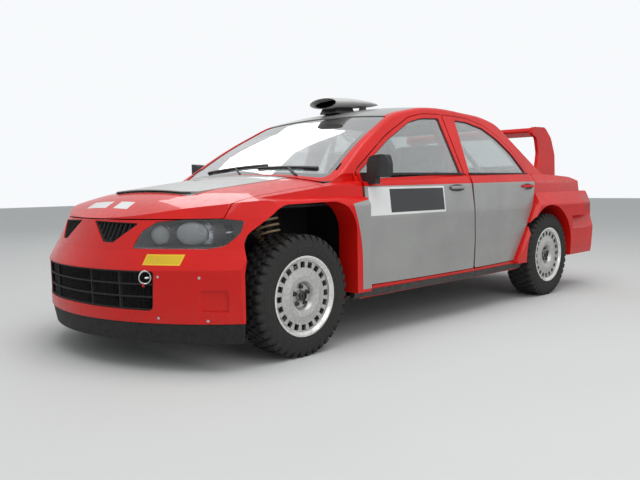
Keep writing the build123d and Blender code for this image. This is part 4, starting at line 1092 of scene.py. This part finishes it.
def pad(label, outline, half, seams, distance_to):
    """One pad of the left seat, and its mirror image in the right seat"""
    places = [(SEAT_X - half, y, z) for y, z in outline]
    made = cut_out(f"seat_{label}_pad_left", places, (2 * half, 0.0, 0.0))
    puffed(made, 0.007)
    if seams:
        channelled(made, seams, distance_to)
    applied(made, "SUBSURF", levels=1, render_levels=1)
    other = copied(made, f"seat_{label}_pad_right", MIRROR)
    for one in (made, other):
        finish(one, SEAT_CLOTH, "body", smooth=180)


def fit_seats():
    """Base, back and head pads of both seats"""
    pad("base", BASE_OUTLINE, 0.166, BASE_SEAMS, lambda place: place.x - SEAT_X)
    low_out, side_out, top_out, corner = 0.003, 0.026, 0.032, 0.02
    for label, (low, high, half, seams) in BACK_PADS.items():
        outline = [
            on_back(low, low_out), on_back(low, side_out), on_back(low + corner, top_out),
            on_back(high - corner, top_out), on_back(high, side_out), on_back(high, low_out)]
        pad(label, outline, half, seams, lambda place: (place.z - SEAT_FOOT_Z) / LEAN_COSINE)


fit_seats()

# Studio

# Place, aim, size and power of each softbox
SOFTBOXES = {
    "top_softbox": ((1.5, -1.0, 6.5), (0.0, -0.3, 0.5), 6.0, 260.0),
    "screen_softbox": ((-6.9, 3.0, 6.1), (0.0, -0.65, 1.15), 2.6, 62.0),
    "side_softbox": ((6.5, -2.0, 3.2), (0.5, -0.2, 0.6), 3.5, 70.0),
}
SKY = (0.93, 0.95, 0.97, 1.0)
DIFFUSE_SKY, MIRRORED_SKY, SEEN_SKY = 0.55, 0.85, 1.0  # strength of the sky in each kind of ray

# Solved from the wheels in the photograph, which is 640 pixels wide
CAMERA_PLACE = (3.396, -3.717, 0.882)
CAMERA_AZIMUTH, CAMERA_PITCH, CAMERA_ROLL = radians(45.197), radians(-4.603), radians(-0.9)
PHOTO_WIDTH_PX, FOCAL_PX = 640.0, 690.0
SENSOR_WIDTH_MM = 36.0


def softbox(name, place, aim, size, power):
    """Square light out of the camera's sight"""
    data = bpy.data.lights.new(name, "AREA")
    data.shape = "SQUARE"
    data.size = size
    data.energy = power
    made = bpy.data.objects.new(name, data)
    bpy.context.scene.collection.objects.link(made)
    made.location = place
    made.rotation_euler = (Vector(aim) - Vector(place)).to_track_quat("-Z", "Y").to_euler()
    made.visible_camera = False


def sky():
    """Plain pale world, brighter to the eye and in reflections than as a light"""
    world = bpy.data.worlds.new("studio")
    bpy.context.scene.world = world
    world.use_nodes = True
    tree = world.node_tree
    back = tree.nodes["Background"]
    back.inputs["Color"].default_value = SKY
    rays = add_node(tree, "ShaderNodeLightPath").outputs
    seen = sums(tree, "MAXIMUM", rays["Is Camera Ray"], rays["Is Transmission Ray"])
    mirrored = sums(tree, "MAXIMUM", seen, rays["Is Glossy Ray"])
    strength = sums(tree, "MULTIPLY_ADD", mirrored, MIRRORED_SKY - DIFFUSE_SKY, DIFFUSE_SKY)
    strength = sums(tree, "MULTIPLY_ADD", seen, SEEN_SKY - MIRRORED_SKY, strength)
    tree.links.new(strength, back.inputs["Strength"])


def studio_floor():
    """Plain pale ground under the wheels"""
    bpy.ops.mesh.primitive_plane_add(size=60.0, location=(0.0, 0.0, 0.0))
    floor = bpy.context.object
    floor.name = "studio_floor"
    made, shader, place = material("studio_floor", Roughness=0.9)
    grey = place.mix(place.noise(0.8), (0.62, 0.63, 0.62), (0.66, 0.67, 0.66))
    feed(shader, place, Base_Color=grey)
    floor.data.materials.append(made)


def camera():
    """Camera at the photograph's angle"""
    azimuth, pitch, roll = CAMERA_AZIMUTH, CAMERA_PITCH, CAMERA_ROLL
    ahead = Vector((-sin(azimuth) * cos(pitch), cos(azimuth) * cos(pitch), sin(pitch)))
    right = Vector((cos(azimuth), sin(azimuth), 0.0))
    up = right.cross(ahead)
    right, up = right * cos(roll) + up * sin(roll), up * cos(roll) - right * sin(roll)
    data = bpy.data.cameras.new("camera")
    data.sensor_width = SENSOR_WIDTH_MM
    data.lens = FOCAL_PX / PHOTO_WIDTH_PX * SENSOR_WIDTH_MM
    data.clip_start = 0.05
    made = bpy.data.objects.new("camera", data)
    bpy.context.scene.collection.objects.link(made)
    facing = Matrix((right, up, -ahead)).transposed().to_4x4()
    made.matrix_world = Matrix.Translation(CAMERA_PLACE) @ facing
    bpy.context.scene.camera = made


camera()
sky()
studio_floor()
for name, settings in SOFTBOXES.items():
    softbox(name, *settings)
bpy.context.scene.view_settings.view_transform = "Standard"
